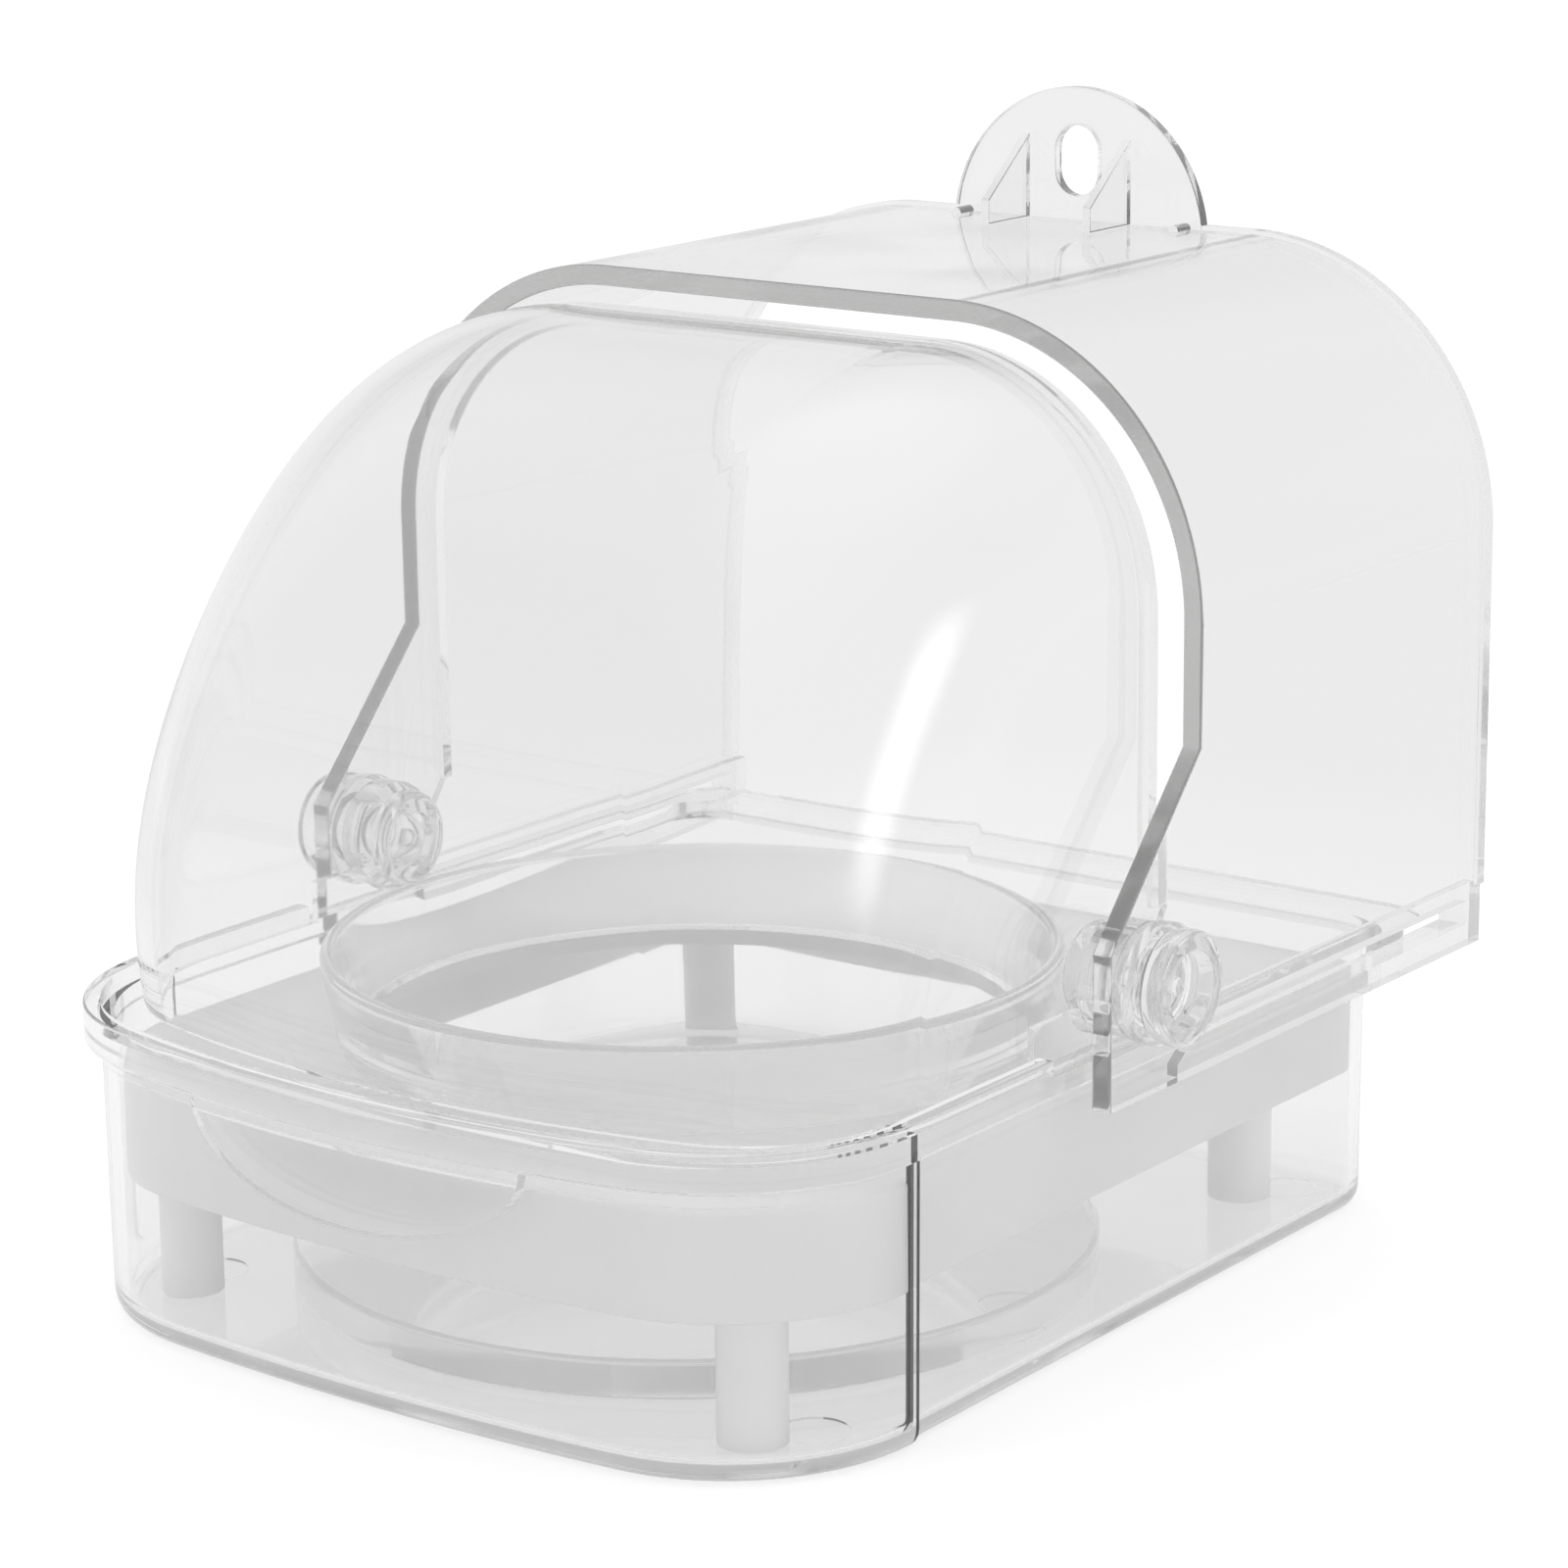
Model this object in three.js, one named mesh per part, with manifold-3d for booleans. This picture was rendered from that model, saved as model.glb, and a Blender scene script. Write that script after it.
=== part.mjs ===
import * as THREE from "three";
import { mergeVertices } from "three/addons/utils/BufferGeometryUtils.js";
import Module from "manifold-3d";

const wasm = await Module();
wasm.setup();

// Clear cage feeder, millimetres, Z up. Y = 0 is the front plane of the hood, -Y is the front.

// Fits
const SLIP = 0.3;
const TRAY_SIDE_GAP = 0.6;
const INSERT_GAP = 0.5;

// Hood
const HOOD_HALF = 70;
const HOOD_WALL = 3;
const HOOD_TOP = 137.5;
const HOOD_CORNER = 40;
const HOOD_LENGTH = 78;
const REAR_RIM = 0.6;
const REAR_RIM_WIDTH = 2;
const KINK_Z = 81;
const EAR_FRONT = -21.5;
const EAR_SHOULDER_Z = 57.5;

// Tray channel in the side walls of the hood
const RAIL_DEPTH = 1.6;
const RAIL_THICK = 3.4;
const RAIL_TOP_THICK = 2;
const RAIL_FRONT = -3;
const RAIL_LEAD = 2.5;
const SLOT_END_WALL = 4;

// Hanging tab
const TAB_WIDTH = 44.5;
const TAB_HEIGHT = 19.8;
const TAB_THICK = 2.2;
const TAB_SINK = 1.5;
const TAB_HOLE_WIDTH = 7.5;
const TAB_HOLE_HEIGHT = 10.5;
const TAB_HOLE_UP = 8.8;
const GUSSET_X = 9;
const GUSSET_THICK = 1.5;
const GUSSET_REACH = 11;
const GUSSET_TALL = 12.5;
const GUSSET_TOE = 3.5;
const BEAD_X = 19.4;
const BEAD_R = 0.9;
const BEAD_LENGTH = 3.5;

// Pivot of the visor
const PIVOT_Y = -11;
const PIVOT_Z = 51.5;
const PIN_R = 4;
const HEAD_R = 8.4;
const HEAD_STEP = 2;
const HEAD_PROUD = 6;
const HEAD_GROOVE = 0.9;
const DISH_R = 5.2;
const DISH_DEPTH = 3.4;
const NUB_R = 1.3;
const NUB_HEIGHT = 1.6;
const CAP_R = 7;
const CAP_THICK = 2.6;

// Visor
const VISOR_SIDE_GAP = 3.6;
const VISOR_TOP_GAP = 1.4;
const VISOR_WALL = 2.2;
const VISOR_REACH = 74;
const VISOR_SWELL = 5;
const VISOR_FLATNESS = 0.01;
const VISOR_REAR = -0.2;
const DOME_STEPS = 66;
const VISOR_STEP = 6;
const VISOR_LOBE = 8.3;
const VISOR_REAR_FOOT = 7;
const BOSS_R = 8;
const BEAD_WIDTH = 1.8;
const BEAD_THICK = 1;

// Tray
const TRAY_REAR = 61.5;
const TRAY_BOW = 400;
const TRAY_CORNER = 30;
const TRAY_REAR_R = 10;
const TRAY_CREASE = -1;
const TRAY_WALL = 2;
const TRAY_FLOOR = 2.2;
const TRAY_FILLET = 3;
const TRAY_DRAFT = 0.3;
const FLANGE_Z = 39.4;
const FLANGE_THICK = 3.2;
const FLANGE_FRONT = -94.5;
const FRONT_OVERHANG = 4.5;
const FLANGE_REAR = 68;
const FLANGE_BOW = 200;
const FLANGE_CORNER = 30;
const FLANGE_REAR_R = 8;
const RIM_HEIGHT = 2.2;
const RIM_GAP = 8;
const LIP_INSET = 2;
const LIP_HEIGHT = 2.4;
const GRIP_HALF = 28;
const GRIP_DROP = 12.5;
const GRIP_THICK = 2;
const GRIP_INSET = 0.5;
const MARK_R = 4.6;
const MARK_DEPTH = 0.3;
const MARK_X = 52;
const MARK_YS = [-63, -19.5, 52];

// Shelf insert
const SHELF_TOP = 36;
const SHELF_THICK = 2.4;
const SKIRT_BOTTOM = 21;
const SKIRT_WALL = 1.8;
const POST_R = 4.6;
const POST_X = 48.5;
const POST_FRONT = -71.4;
const POST_REAR = 44.7;

// Bowl and floor plate
const BOWL_Y = -20.6;
const BOWL_RIM_Z = 48.5;
const BOWL_RIM_R = 51;
const BOWL_WALL = 2;
const BOWL_NECK_R = 46.4;
const BOWL_SHOULDER = 2.6;
const BOWL_BASE_R = 36;
const BOWL_BASE_Z = 21;
const BOWL_TURN = 6;
const BOWL_LEAN = 0.41;
const PLATE_R = 56;
const PLATE_THICK = 5.5;
const PLATE_EDGE = 0.8;

// Derived sizes
const HOOD_INNER = HOOD_HALF - HOOD_WALL;
const RAIL_INNER = HOOD_INNER - RAIL_DEPTH;
const HOOD_BOTTOM = FLANGE_Z - RAIL_THICK;
const RIM_END = EAR_FRONT - RIM_GAP;
const TRAY_FRONT = FLANGE_FRONT + FRONT_OVERHANG;
const FLANGE_TOP = FLANGE_Z + FLANGE_THICK;
const SLOT_TOP = FLANGE_TOP + SLIP;
const RAIL_TOP = SLOT_TOP + RAIL_TOP_THICK;
const SLOT_END = HOOD_LENGTH - SLOT_END_WALL;
const VISOR_HALF = HOOD_INNER - VISOR_SIDE_GAP;
const VISOR_RISE = HOOD_TOP - HOOD_WALL - VISOR_TOP_GAP - PIVOT_Z;
const FLANGE_HALF = HOOD_INNER - TRAY_SIDE_GAP;
const RIM_INSET = FLANGE_HALF - VISOR_HALF;
const CROWN_CORNER = HOOD_CORNER - HOOD_WALL - VISOR_SIDE_GAP;
const FOOT_CORNER = FLANGE_CORNER - RIM_INSET;
const FOOT_BOW = FLANGE_BOW - RIM_INSET;
const TRAY_HALF = RAIL_INNER - TRAY_SIDE_GAP - SLIP;
const FAR = 300;

const TRAY_PLAN = {
  half: TRAY_HALF,
  front: TRAY_FRONT,
  rear: TRAY_REAR,
  bow: TRAY_BOW,
  corner: TRAY_CORNER,
  rearCorner: TRAY_REAR_R,
  crease: TRAY_CREASE,
};
const FLANGE_PLAN = {
  half: FLANGE_HALF,
  front: FLANGE_FRONT,
  rear: FLANGE_REAR,
  bow: FLANGE_BOW,
  corner: FLANGE_CORNER,
  rearCorner: FLANGE_REAR_R,
  crease: 0,
};

// Closed geometry to solid, with collapsed triangles dropped and faces turned outwards.
function solid(geometry) {
  const bare = new THREE.BufferGeometry();
  bare.setAttribute("position", geometry.getAttribute("position").clone());
  if (geometry.index) {
    bare.setIndex(geometry.index.clone());
  }
  const merged = mergeVertices(bare, 1e-4);
  const source = merged.index.array;
  const kept = [];
  for (let i = 0; i < source.length; i += 3) {
    const [a, b, c] = [source[i], source[i + 1], source[i + 2]];
    if (a !== b && b !== c && c !== a) {
      kept.push(a, b, c);
    }
  }
  const vertProperties = merged.attributes.position.array;
  const make = (list) => {
    const mesh = new wasm.Mesh({ numProp: 3, vertProperties, triVerts: new Uint32Array(list) });
    mesh.merge();
    return new wasm.Manifold(mesh);
  };
  const made = make(kept);
  return made.volume() < 0 ? make(kept.reverse()) : made;
}

function polygon(points) {
  return new THREE.Shape(points.map(([u, v]) => new THREE.Vector2(u, v)));
}

// Prisms of a drawn shape: along X from (y, z), along Y from (x, z), along Z from (x, y).
function prismX(shape, x0, x1, curveSegments = 24) {
  const g = new THREE.ExtrudeGeometry(shape, { depth: x1 - x0, bevelEnabled: false, curveSegments });
  const axes = new THREE.Matrix4().makeBasis(
    new THREE.Vector3(0, 1, 0),
    new THREE.Vector3(0, 0, 1),
    new THREE.Vector3(1, 0, 0),
  );
  return solid(g.applyMatrix4(axes).translate(x0, 0, 0));
}

function prismY(shape, y0, y1, curveSegments = 20) {
  const g = new THREE.ExtrudeGeometry(shape, { depth: y1 - y0, bevelEnabled: false, curveSegments });
  return solid(g.rotateX(Math.PI / 2).translate(0, y1, 0));
}

function box(x0, x1, y0, y1, z0, z1) {
  const g = new THREE.BoxGeometry(x1 - x0, y1 - y0, z1 - z0);
  return solid(g.translate((x0 + x1) / 2, (y0 + y1) / 2, (z0 + z1) / 2));
}

// Solid of revolution about X through (y, z), profile in (radius, x).
function turnX(profile, y, z, segments) {
  const g = new THREE.LatheGeometry(profile.map(([r, x]) => new THREE.Vector2(r, x)), segments);
  return solid(g.rotateZ(-Math.PI / 2).translate(0, y, z));
}

// Solid of revolution about Z through (x, y), profile in (radius, z).
function turnZ(profile, x, y, segments) {
  const g = new THREE.LatheGeometry(profile.map(([r, h]) => new THREE.Vector2(r, h)), segments);
  return solid(g.rotateX(Math.PI / 2).translate(x, y, 0));
}

function mirrorX(body) {
  return body.mirror([1, 0, 0]);
}

function both(body) {
  return body.add(mirrorX(body));
}

// Right half of a bowed front, from the middle to the straight side: a wide arc and a corner arc that
// touches it. The same centres serve every inset, so insets are true offsets.
function bowedFront(p, inset, bowSteps, cornerSteps) {
  const cx = p.half - p.crease - p.corner;
  const cy = p.front + p.bow;
  const ky = cy - Math.sqrt((p.bow - p.corner) ** 2 - cx ** 2);
  const meet = Math.atan2(cx, cy - ky);
  const points = [];
  for (let i = 0; i < bowSteps; i += 1) {
    const a = (meet * i) / bowSteps;
    points.push([(p.bow - inset) * Math.sin(a), cy - (p.bow - inset) * Math.cos(a)]);
  }
  for (let i = 0; i <= cornerSteps; i += 1) {
    const a = meet + ((Math.PI / 2 - meet) * i) / cornerSteps;
    points.push([cx + (p.corner - inset) * Math.sin(a), ky - (p.corner - inset) * Math.cos(a)]);
  }
  return points;
}

function sideStart(p) {
  const cx = p.half - p.crease - p.corner;
  return p.front + p.bow - Math.sqrt((p.bow - p.corner) ** 2 - cx ** 2);
}

// Closed plan outline, counter-clockwise: bowed front, straight sides, rounded rear corners.
function outline(p, inset) {
  const right = bowedFront(p, inset, 8, 12);
  if (p.crease !== 0) {
    right.push([p.half - inset, sideStart(p)]);
  }
  const r = p.rearCorner - inset;
  for (let i = 0; i <= 6; i += 1) {
    const a = (Math.PI / 2) * (i / 6);
    const x = p.half - p.rearCorner + r * Math.cos(a);
    right.push([x, p.rear - p.rearCorner + r * Math.sin(a)]);
  }
  const left = right.slice(1).reverse().map(([x, y]) => [-x, y]);
  return [...right, ...left].map(([x, y]) => new THREE.Vector2(x, y));
}

// Solid through a pile of plan outlines, each level given as [z, inset], from the bottom up.
function pile(p, levels) {
  const rings = levels.map(([z, inset]) => outline(p, inset).map((v) => [v.x, v.y, z]));
  const count = rings[0].length;
  const index = [];
  for (let k = 0; k + 1 < rings.length; k += 1) {
    for (let j = 0; j < count; j += 1) {
      const a = k * count + j;
      const b = k * count + ((j + 1) % count);
      index.push(a, b, b + count, a, b + count, a + count);
    }
  }
  const lid = (k, flip) => {
    const flat = rings[k].map(([x, y]) => new THREE.Vector2(x, y));
    for (const face of THREE.ShapeUtils.triangulateShape(flat, [])) {
      const turned = flip ? [...face].reverse() : face;
      index.push(...turned.map((v) => k * count + v));
    }
  };
  lid(0, true);
  lid(rings.length - 1, false);
  const g = new THREE.BufferGeometry();
  g.setAttribute("position", new THREE.Float32BufferAttribute(rings.flat(2), 3));
  g.setIndex(index);
  return solid(g);
}

function slab(p, inset, z0, z1) {
  return pile(p, [
    [z0, inset],
    [z1, inset],
  ]);
}

// Levels of a vessel whose bottom edge is rounded, with draft towards the bottom.
function vesselLevels(z0, z1, inset, fillet, draft) {
  const levels = [];
  const lean = (z) => (draft * (z1 - z)) / (z1 - z0);
  for (let i = 0; i <= 4; i += 1) {
    const t = (Math.PI / 2) * (i / 4);
    const z = z0 + fillet * (1 - Math.cos(t));
    levels.push([z, inset + fillet * (1 - Math.sin(t)) + lean(z)]);
  }
  levels.push([z1, inset]);
  return levels;
}

// Arch outline of the hood in (x, z), grown or shrunk by an offset.
function archShape(offset, bottom) {
  const half = HOOD_HALF + offset;
  const r = HOOD_CORNER + offset;
  const flat = HOOD_HALF - HOOD_CORNER;
  const spring = HOOD_TOP - HOOD_CORNER;
  const shape = new THREE.Shape();
  shape.moveTo(-half, bottom);
  shape.lineTo(half, bottom);
  shape.lineTo(half, spring);
  shape.absarc(flat, spring, r, 0, Math.PI / 2, false);
  shape.absarc(-flat, spring, r, Math.PI / 2, Math.PI, false);
  shape.closePath();
  return shape;
}

function makeHood() {
  const side = polygon([
    [0, FAR],
    [0, KINK_Z],
    [EAR_FRONT, EAR_SHOULDER_Z],
    [EAR_FRONT, HOOD_BOTTOM],
    [HOOD_LENGTH, HOOD_BOTTOM],
    [HOOD_LENGTH, FAR],
  ]);
  const inner = prismY(archShape(-HOOD_WALL, 0), -FAR, FAR);
  const shell = prismY(archShape(0, 0), EAR_FRONT, HOOD_LENGTH).intersect(prismX(side, -FAR, FAR));
  const rearRim = prismY(archShape(REAR_RIM, RAIL_TOP), HOOD_LENGTH - REAR_RIM_WIDTH, HOOD_LENGTH);
  let hood = shell.add(rearRim).subtract(inner);

  // Channel for the tray flange: a slot through the wall between two rails with chamfered mouths.
  const lowerRail = polygon([
    [RAIL_FRONT, HOOD_BOTTOM],
    [HOOD_LENGTH, HOOD_BOTTOM],
    [HOOD_LENGTH, FLANGE_Z],
    [RAIL_FRONT + RAIL_LEAD, FLANGE_Z],
    [RAIL_FRONT, FLANGE_Z - RAIL_THICK / 2],
  ]);
  const upperRail = polygon([
    [RAIL_FRONT, SLOT_TOP + RAIL_TOP_THICK / 2],
    [RAIL_FRONT + RAIL_LEAD, SLOT_TOP],
    [HOOD_LENGTH, SLOT_TOP],
    [HOOD_LENGTH, RAIL_TOP],
    [RAIL_FRONT, RAIL_TOP],
  ]);
  const window = polygon([
    [RAIL_FRONT, FLANGE_Z + SLIP],
    [RAIL_FRONT + RAIL_LEAD, FLANGE_Z],
    [SLOT_END, FLANGE_Z],
    [SLOT_END, SLOT_TOP],
    [RAIL_FRONT + RAIL_LEAD, SLOT_TOP],
    [RAIL_FRONT, SLOT_TOP - SLIP],
  ]);
  const weld = HOOD_INNER + HOOD_WALL / 2;
  const rails = prismX(lowerRail, RAIL_INNER, weld)
    .add(prismX(upperRail, RAIL_INNER, weld))
    .add(box(RAIL_INNER, weld, SLOT_END, HOOD_LENGTH, HOOD_BOTTOM, RAIL_TOP));
  hood = hood.add(both(rails)).subtract(both(prismX(window, RAIL_INNER - 1, FAR)));

  // Hanging tab with its hole, gussets and foot beads.
  const tabR = TAB_WIDTH / 2;
  const tabCentre = HOOD_TOP + TAB_HEIGHT - tabR;
  const tabFoot = Math.asin((HOOD_TOP - TAB_SINK - tabCentre) / tabR);
  const tab = new THREE.Shape();
  tab.absarc(0, tabCentre, tabR, tabFoot, Math.PI - tabFoot, false);
  tab.closePath();
  const holeR = TAB_HOLE_WIDTH / 2;
  const holeReach = TAB_HOLE_HEIGHT / 2 - holeR;
  const holeZ = HOOD_TOP + TAB_HOLE_UP;
  const hole = new THREE.Path();
  hole.absarc(0, holeZ + holeReach, holeR, 0, Math.PI, false);
  hole.absarc(0, holeZ - holeReach, holeR, Math.PI, 2 * Math.PI, false);
  hole.closePath();
  tab.holes.push(hole);
  const tabFace = HOOD_LENGTH - TAB_THICK;
  const gusset = polygon([
    [tabFace + TAB_THICK / 2, HOOD_TOP - TAB_SINK],
    [tabFace + TAB_THICK / 2, HOOD_TOP + GUSSET_TALL],
    [tabFace, HOOD_TOP + GUSSET_TALL],
    [tabFace - GUSSET_REACH, HOOD_TOP + GUSSET_TOE],
    [tabFace - GUSSET_REACH, HOOD_TOP - TAB_SINK],
  ]);
  const bead = new THREE.Shape();
  bead.absarc(BEAD_X, HOOD_TOP, BEAD_R, 0, 2 * Math.PI, false);
  const fittings = both(
    prismX(gusset, GUSSET_X - GUSSET_THICK / 2, GUSSET_X + GUSSET_THICK / 2).add(
      prismY(bead, tabFace - BEAD_LENGTH, tabFace + TAB_THICK / 2, 8),
    ),
  );
  hood = hood.add(prismY(tab, tabFace, HOOD_LENGTH, 32)).add(fittings);

  const bore = [
    [0, -FAR],
    [PIN_R + SLIP, -FAR],
    [PIN_R + SLIP, FAR],
    [0, FAR],
  ];
  return hood.subtract(turnX(bore, PIVOT_Y, PIVOT_Z, 36));
}

// Oval drum on the axis of the pivot, with flat ends. Its crown is flat across and rounded like the arch
// of the hood, and its foot is bowed and rounded like the rim of the tray.
function drum(inset) {
  const at = (r, x, a) => [x, PIVOT_Y - r * Math.sin(a), PIVOT_Z + r * Math.cos(a)];
  const points = [];
  let span = 0;
  for (let i = 0; i < DOME_STEPS; i += 1) {
    const a = (2 * Math.PI * i) / DOME_STEPS;
    const footShare = 1 - Math.cos(a);
    const swell = VISOR_SWELL * Math.sin(2 * a) ** 2;
    const section = {
      half: VISOR_HALF,
      front: -1 / Math.hypot(Math.sin(a) / VISOR_REACH, Math.cos(a) / VISOR_RISE),
      bow: FOOT_BOW / Math.max(footShare, VISOR_FLATNESS),
      corner: CROWN_CORNER + (FOOT_CORNER - CROWN_CORNER) * footShare + swell,
      crease: 0,
    };
    const right = bowedFront(section, inset, 3, 9);
    const left = right.slice(1).reverse().map(([x, y]) => [-x, y]);
    const across = [...left, ...right];
    span = across.length;
    points.push(...across.map(([x, y]) => at(-y, x, a)));
  }
  const leftPole = points.push(at(0, inset - VISOR_HALF, 0)) - 1;
  const rightPole = points.push(at(0, VISOR_HALF - inset, 0)) - 1;
  const index = [];
  for (let i = 0; i < DOME_STEPS; i += 1) {
    const here = i * span;
    const next = ((i + 1) % DOME_STEPS) * span;
    index.push(leftPole, here, next);
    index.push(rightPole, next + span - 1, here + span - 1);
    for (let j = 0; j + 1 < span; j += 1) {
      index.push(here + j, here + j + 1, next + j + 1);
      index.push(here + j, next + j + 1, next + j);
    }
  }
  const g = new THREE.BufferGeometry();
  g.setAttribute("position", new THREE.Float32BufferAttribute(points.flat(), 3));
  g.setIndex(index);
  return solid(g);
}

function makeVisor() {
  const stepZ = FLANGE_TOP + VISOR_STEP;
  const drop = PIVOT_Z - stepZ;
  const lobeStart = Math.PI + Math.asin(drop / VISOR_LOBE);
  const lobeEnd = 2 * Math.PI + Math.PI / 9;
  const side = new THREE.Shape();
  side.moveTo(-FAR, FAR);
  side.lineTo(-FAR, FLANGE_TOP);
  side.lineTo(RIM_END, FLANGE_TOP);
  side.lineTo(RIM_END, stepZ);
  side.absarc(PIVOT_Y, PIVOT_Z, VISOR_LOBE, lobeStart, lobeEnd, false);
  side.lineTo(VISOR_REAR, PIVOT_Z + VISOR_REAR_FOOT);
  side.lineTo(VISOR_REAR, FAR);
  side.closePath();
  const cut = prismX(side, -FAR, FAR);
  const inner = drum(VISOR_WALL);
  const shell = drum(0).subtract(inner).intersect(cut);
  const band = box(-FAR, FAR, VISOR_REAR - BEAD_WIDTH, VISOR_REAR, PIVOT_Z + VISOR_REAR_FOOT, FAR);
  const bead = drum(VISOR_WALL / 2).subtract(drum(VISOR_WALL + BEAD_THICK)).intersect(band);
  const boss = turnX(
    [
      [0, VISOR_HALF - VISOR_WALL / 2],
      [BOSS_R, VISOR_HALF - VISOR_WALL / 2],
      [BOSS_R, HOOD_INNER],
      [0, HOOD_INNER],
    ],
    PIVOT_Y,
    PIVOT_Z,
    36,
  );
  const bore = [
    [0, -FAR],
    [PIN_R + SLIP, -FAR],
    [PIN_R + SLIP, FAR],
    [0, FAR],
  ];
  return shell.add(bead).add(both(boss)).subtract(turnX(bore, PIVOT_Y, PIVOT_Z, 36));
}

function makePin() {
  const face = HOOD_HALF + HEAD_PROUD;
  const step = HOOD_HALF + HEAD_STEP;
  const end = VISOR_HALF - VISOR_WALL - SLIP;
  return turnX(
    [
      [0, end],
      [PIN_R, end],
      [PIN_R, HOOD_HALF],
      [HEAD_R, HOOD_HALF],
      [HEAD_R, step],
      [HEAD_R - HEAD_GROOVE, step + HEAD_GROOVE / 2],
      [HEAD_R - HEAD_GROOVE, step + HEAD_GROOVE],
      [HEAD_R - HEAD_GROOVE / 2, step + 2 * HEAD_GROOVE],
      [HEAD_R - HEAD_GROOVE / 2, face - HEAD_GROOVE],
      [HEAD_R - 1.5 * HEAD_GROOVE, face],
      [DISH_R, face],
      [DISH_R - 1, face - DISH_DEPTH / 2],
      [DISH_R - 2, face - DISH_DEPTH],
      [NUB_R, face - DISH_DEPTH],
      [NUB_R, face - DISH_DEPTH + NUB_HEIGHT - NUB_R / 2],
      [NUB_R / 2, face - DISH_DEPTH + NUB_HEIGHT],
      [0, face - DISH_DEPTH + NUB_HEIGHT],
    ],
    PIVOT_Y,
    PIVOT_Z,
    26,
  );
}

function makeCap() {
  const face = VISOR_HALF - VISOR_WALL - SLIP;
  return turnX(
    [
      [0, face],
      [CAP_R, face],
      [CAP_R, face - CAP_THICK / 2],
      [CAP_R - CAP_THICK / 2, face - CAP_THICK],
      [PIN_R, face - CAP_THICK],
      [PIN_R - 0.8, face - CAP_THICK / 2],
      [0, face - CAP_THICK / 2],
    ],
    PIVOT_Y,
    PIVOT_Z,
    26,
  );
}

function makeTray() {
  const rimTop = FLANGE_TOP + RIM_HEIGHT;
  const rimThick = RIM_INSET - 2 * SLIP;
  const outer = pile(TRAY_PLAN, vesselLevels(0, FLANGE_TOP, 0, TRAY_FILLET, TRAY_DRAFT));
  const inside = vesselLevels(TRAY_FLOOR, FLANGE_TOP, TRAY_WALL, TRAY_FILLET - TRAY_WALL / 2, TRAY_DRAFT);
  const cavity = pile(TRAY_PLAN, [...inside, [FAR, TRAY_WALL]]);
  const flange = slab(FLANGE_PLAN, 0, FLANGE_Z, FLANGE_TOP);
  const rimZone = box(-FAR, FAR, -FAR, RIM_END, FLANGE_Z, FAR);
  const rim = slab(FLANGE_PLAN, 0, FLANGE_Z, rimTop)
    .subtract(slab(FLANGE_PLAN, rimThick, 0, FAR))
    .intersect(rimZone);
  const lipZone = box(-FAR, FAR, -FAR, sideStart(TRAY_PLAN), 0, FAR);
  const lip = slab(FLANGE_PLAN, LIP_INSET, FLANGE_Z - LIP_HEIGHT, FLANGE_TOP).intersect(lipZone);

  const moon = new THREE.Shape();
  moon.moveTo(-GRIP_HALF, FLANGE_Z + FLANGE_THICK / 2);
  moon.lineTo(-GRIP_HALF, FLANGE_Z);
  moon.absellipse(0, FLANGE_Z, GRIP_HALF, GRIP_DROP, Math.PI, 2 * Math.PI, false, 0);
  moon.lineTo(GRIP_HALF, FLANGE_Z + FLANGE_THICK / 2);
  moon.closePath();
  const grip = slab(FLANGE_PLAN, GRIP_INSET, 0, FLANGE_TOP)
    .subtract(slab(FLANGE_PLAN, GRIP_INSET + GRIP_THICK, 0, FAR))
    .intersect(prismY(moon, -FAR, 0, 24));

  let tray = outer.add(flange).add(rim).add(lip).add(grip).subtract(cavity);
  for (const y of MARK_YS) {
    const mark = turnZ(
      [
        [0, -1],
        [MARK_R, -1],
        [MARK_R, MARK_DEPTH],
        [0, MARK_DEPTH],
      ],
      MARK_X,
      y,
      24,
    );
    tray = tray.subtract(both(mark));
  }
  return tray;
}

function makeInsert() {
  const outerInset = TRAY_WALL + TRAY_DRAFT + INSERT_GAP;
  const under = SHELF_TOP - SHELF_THICK;
  let insert = slab(TRAY_PLAN, outerInset, SKIRT_BOTTOM, SHELF_TOP).subtract(
    slab(TRAY_PLAN, outerInset + SKIRT_WALL, 0, under),
  );
  for (const y of [POST_FRONT, POST_REAR]) {
    const post = turnZ(
      [
        [0, TRAY_FLOOR],
        [POST_R, TRAY_FLOOR],
        [POST_R, under + SHELF_THICK / 2],
        [0, under + SHELF_THICK / 2],
      ],
      POST_X,
      y,
      32,
    );
    insert = insert.add(both(post));
  }
  const hole = turnZ(
    [
      [0, 0],
      [BOWL_NECK_R + SLIP, 0],
      [BOWL_NECK_R + SLIP, FAR],
      [0, FAR],
    ],
    0,
    BOWL_Y,
    72,
  );
  return insert.subtract(hole);
}

// Points of an arc in a turned profile, in (radius, z).
function profileArc(r, z, radius, from, to, steps) {
  const points = [];
  for (let i = 0; i <= steps; i += 1) {
    const a = from + ((to - from) * i) / steps;
    points.push([r + radius * Math.cos(a), z + radius * Math.sin(a)]);
  }
  return points;
}

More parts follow.
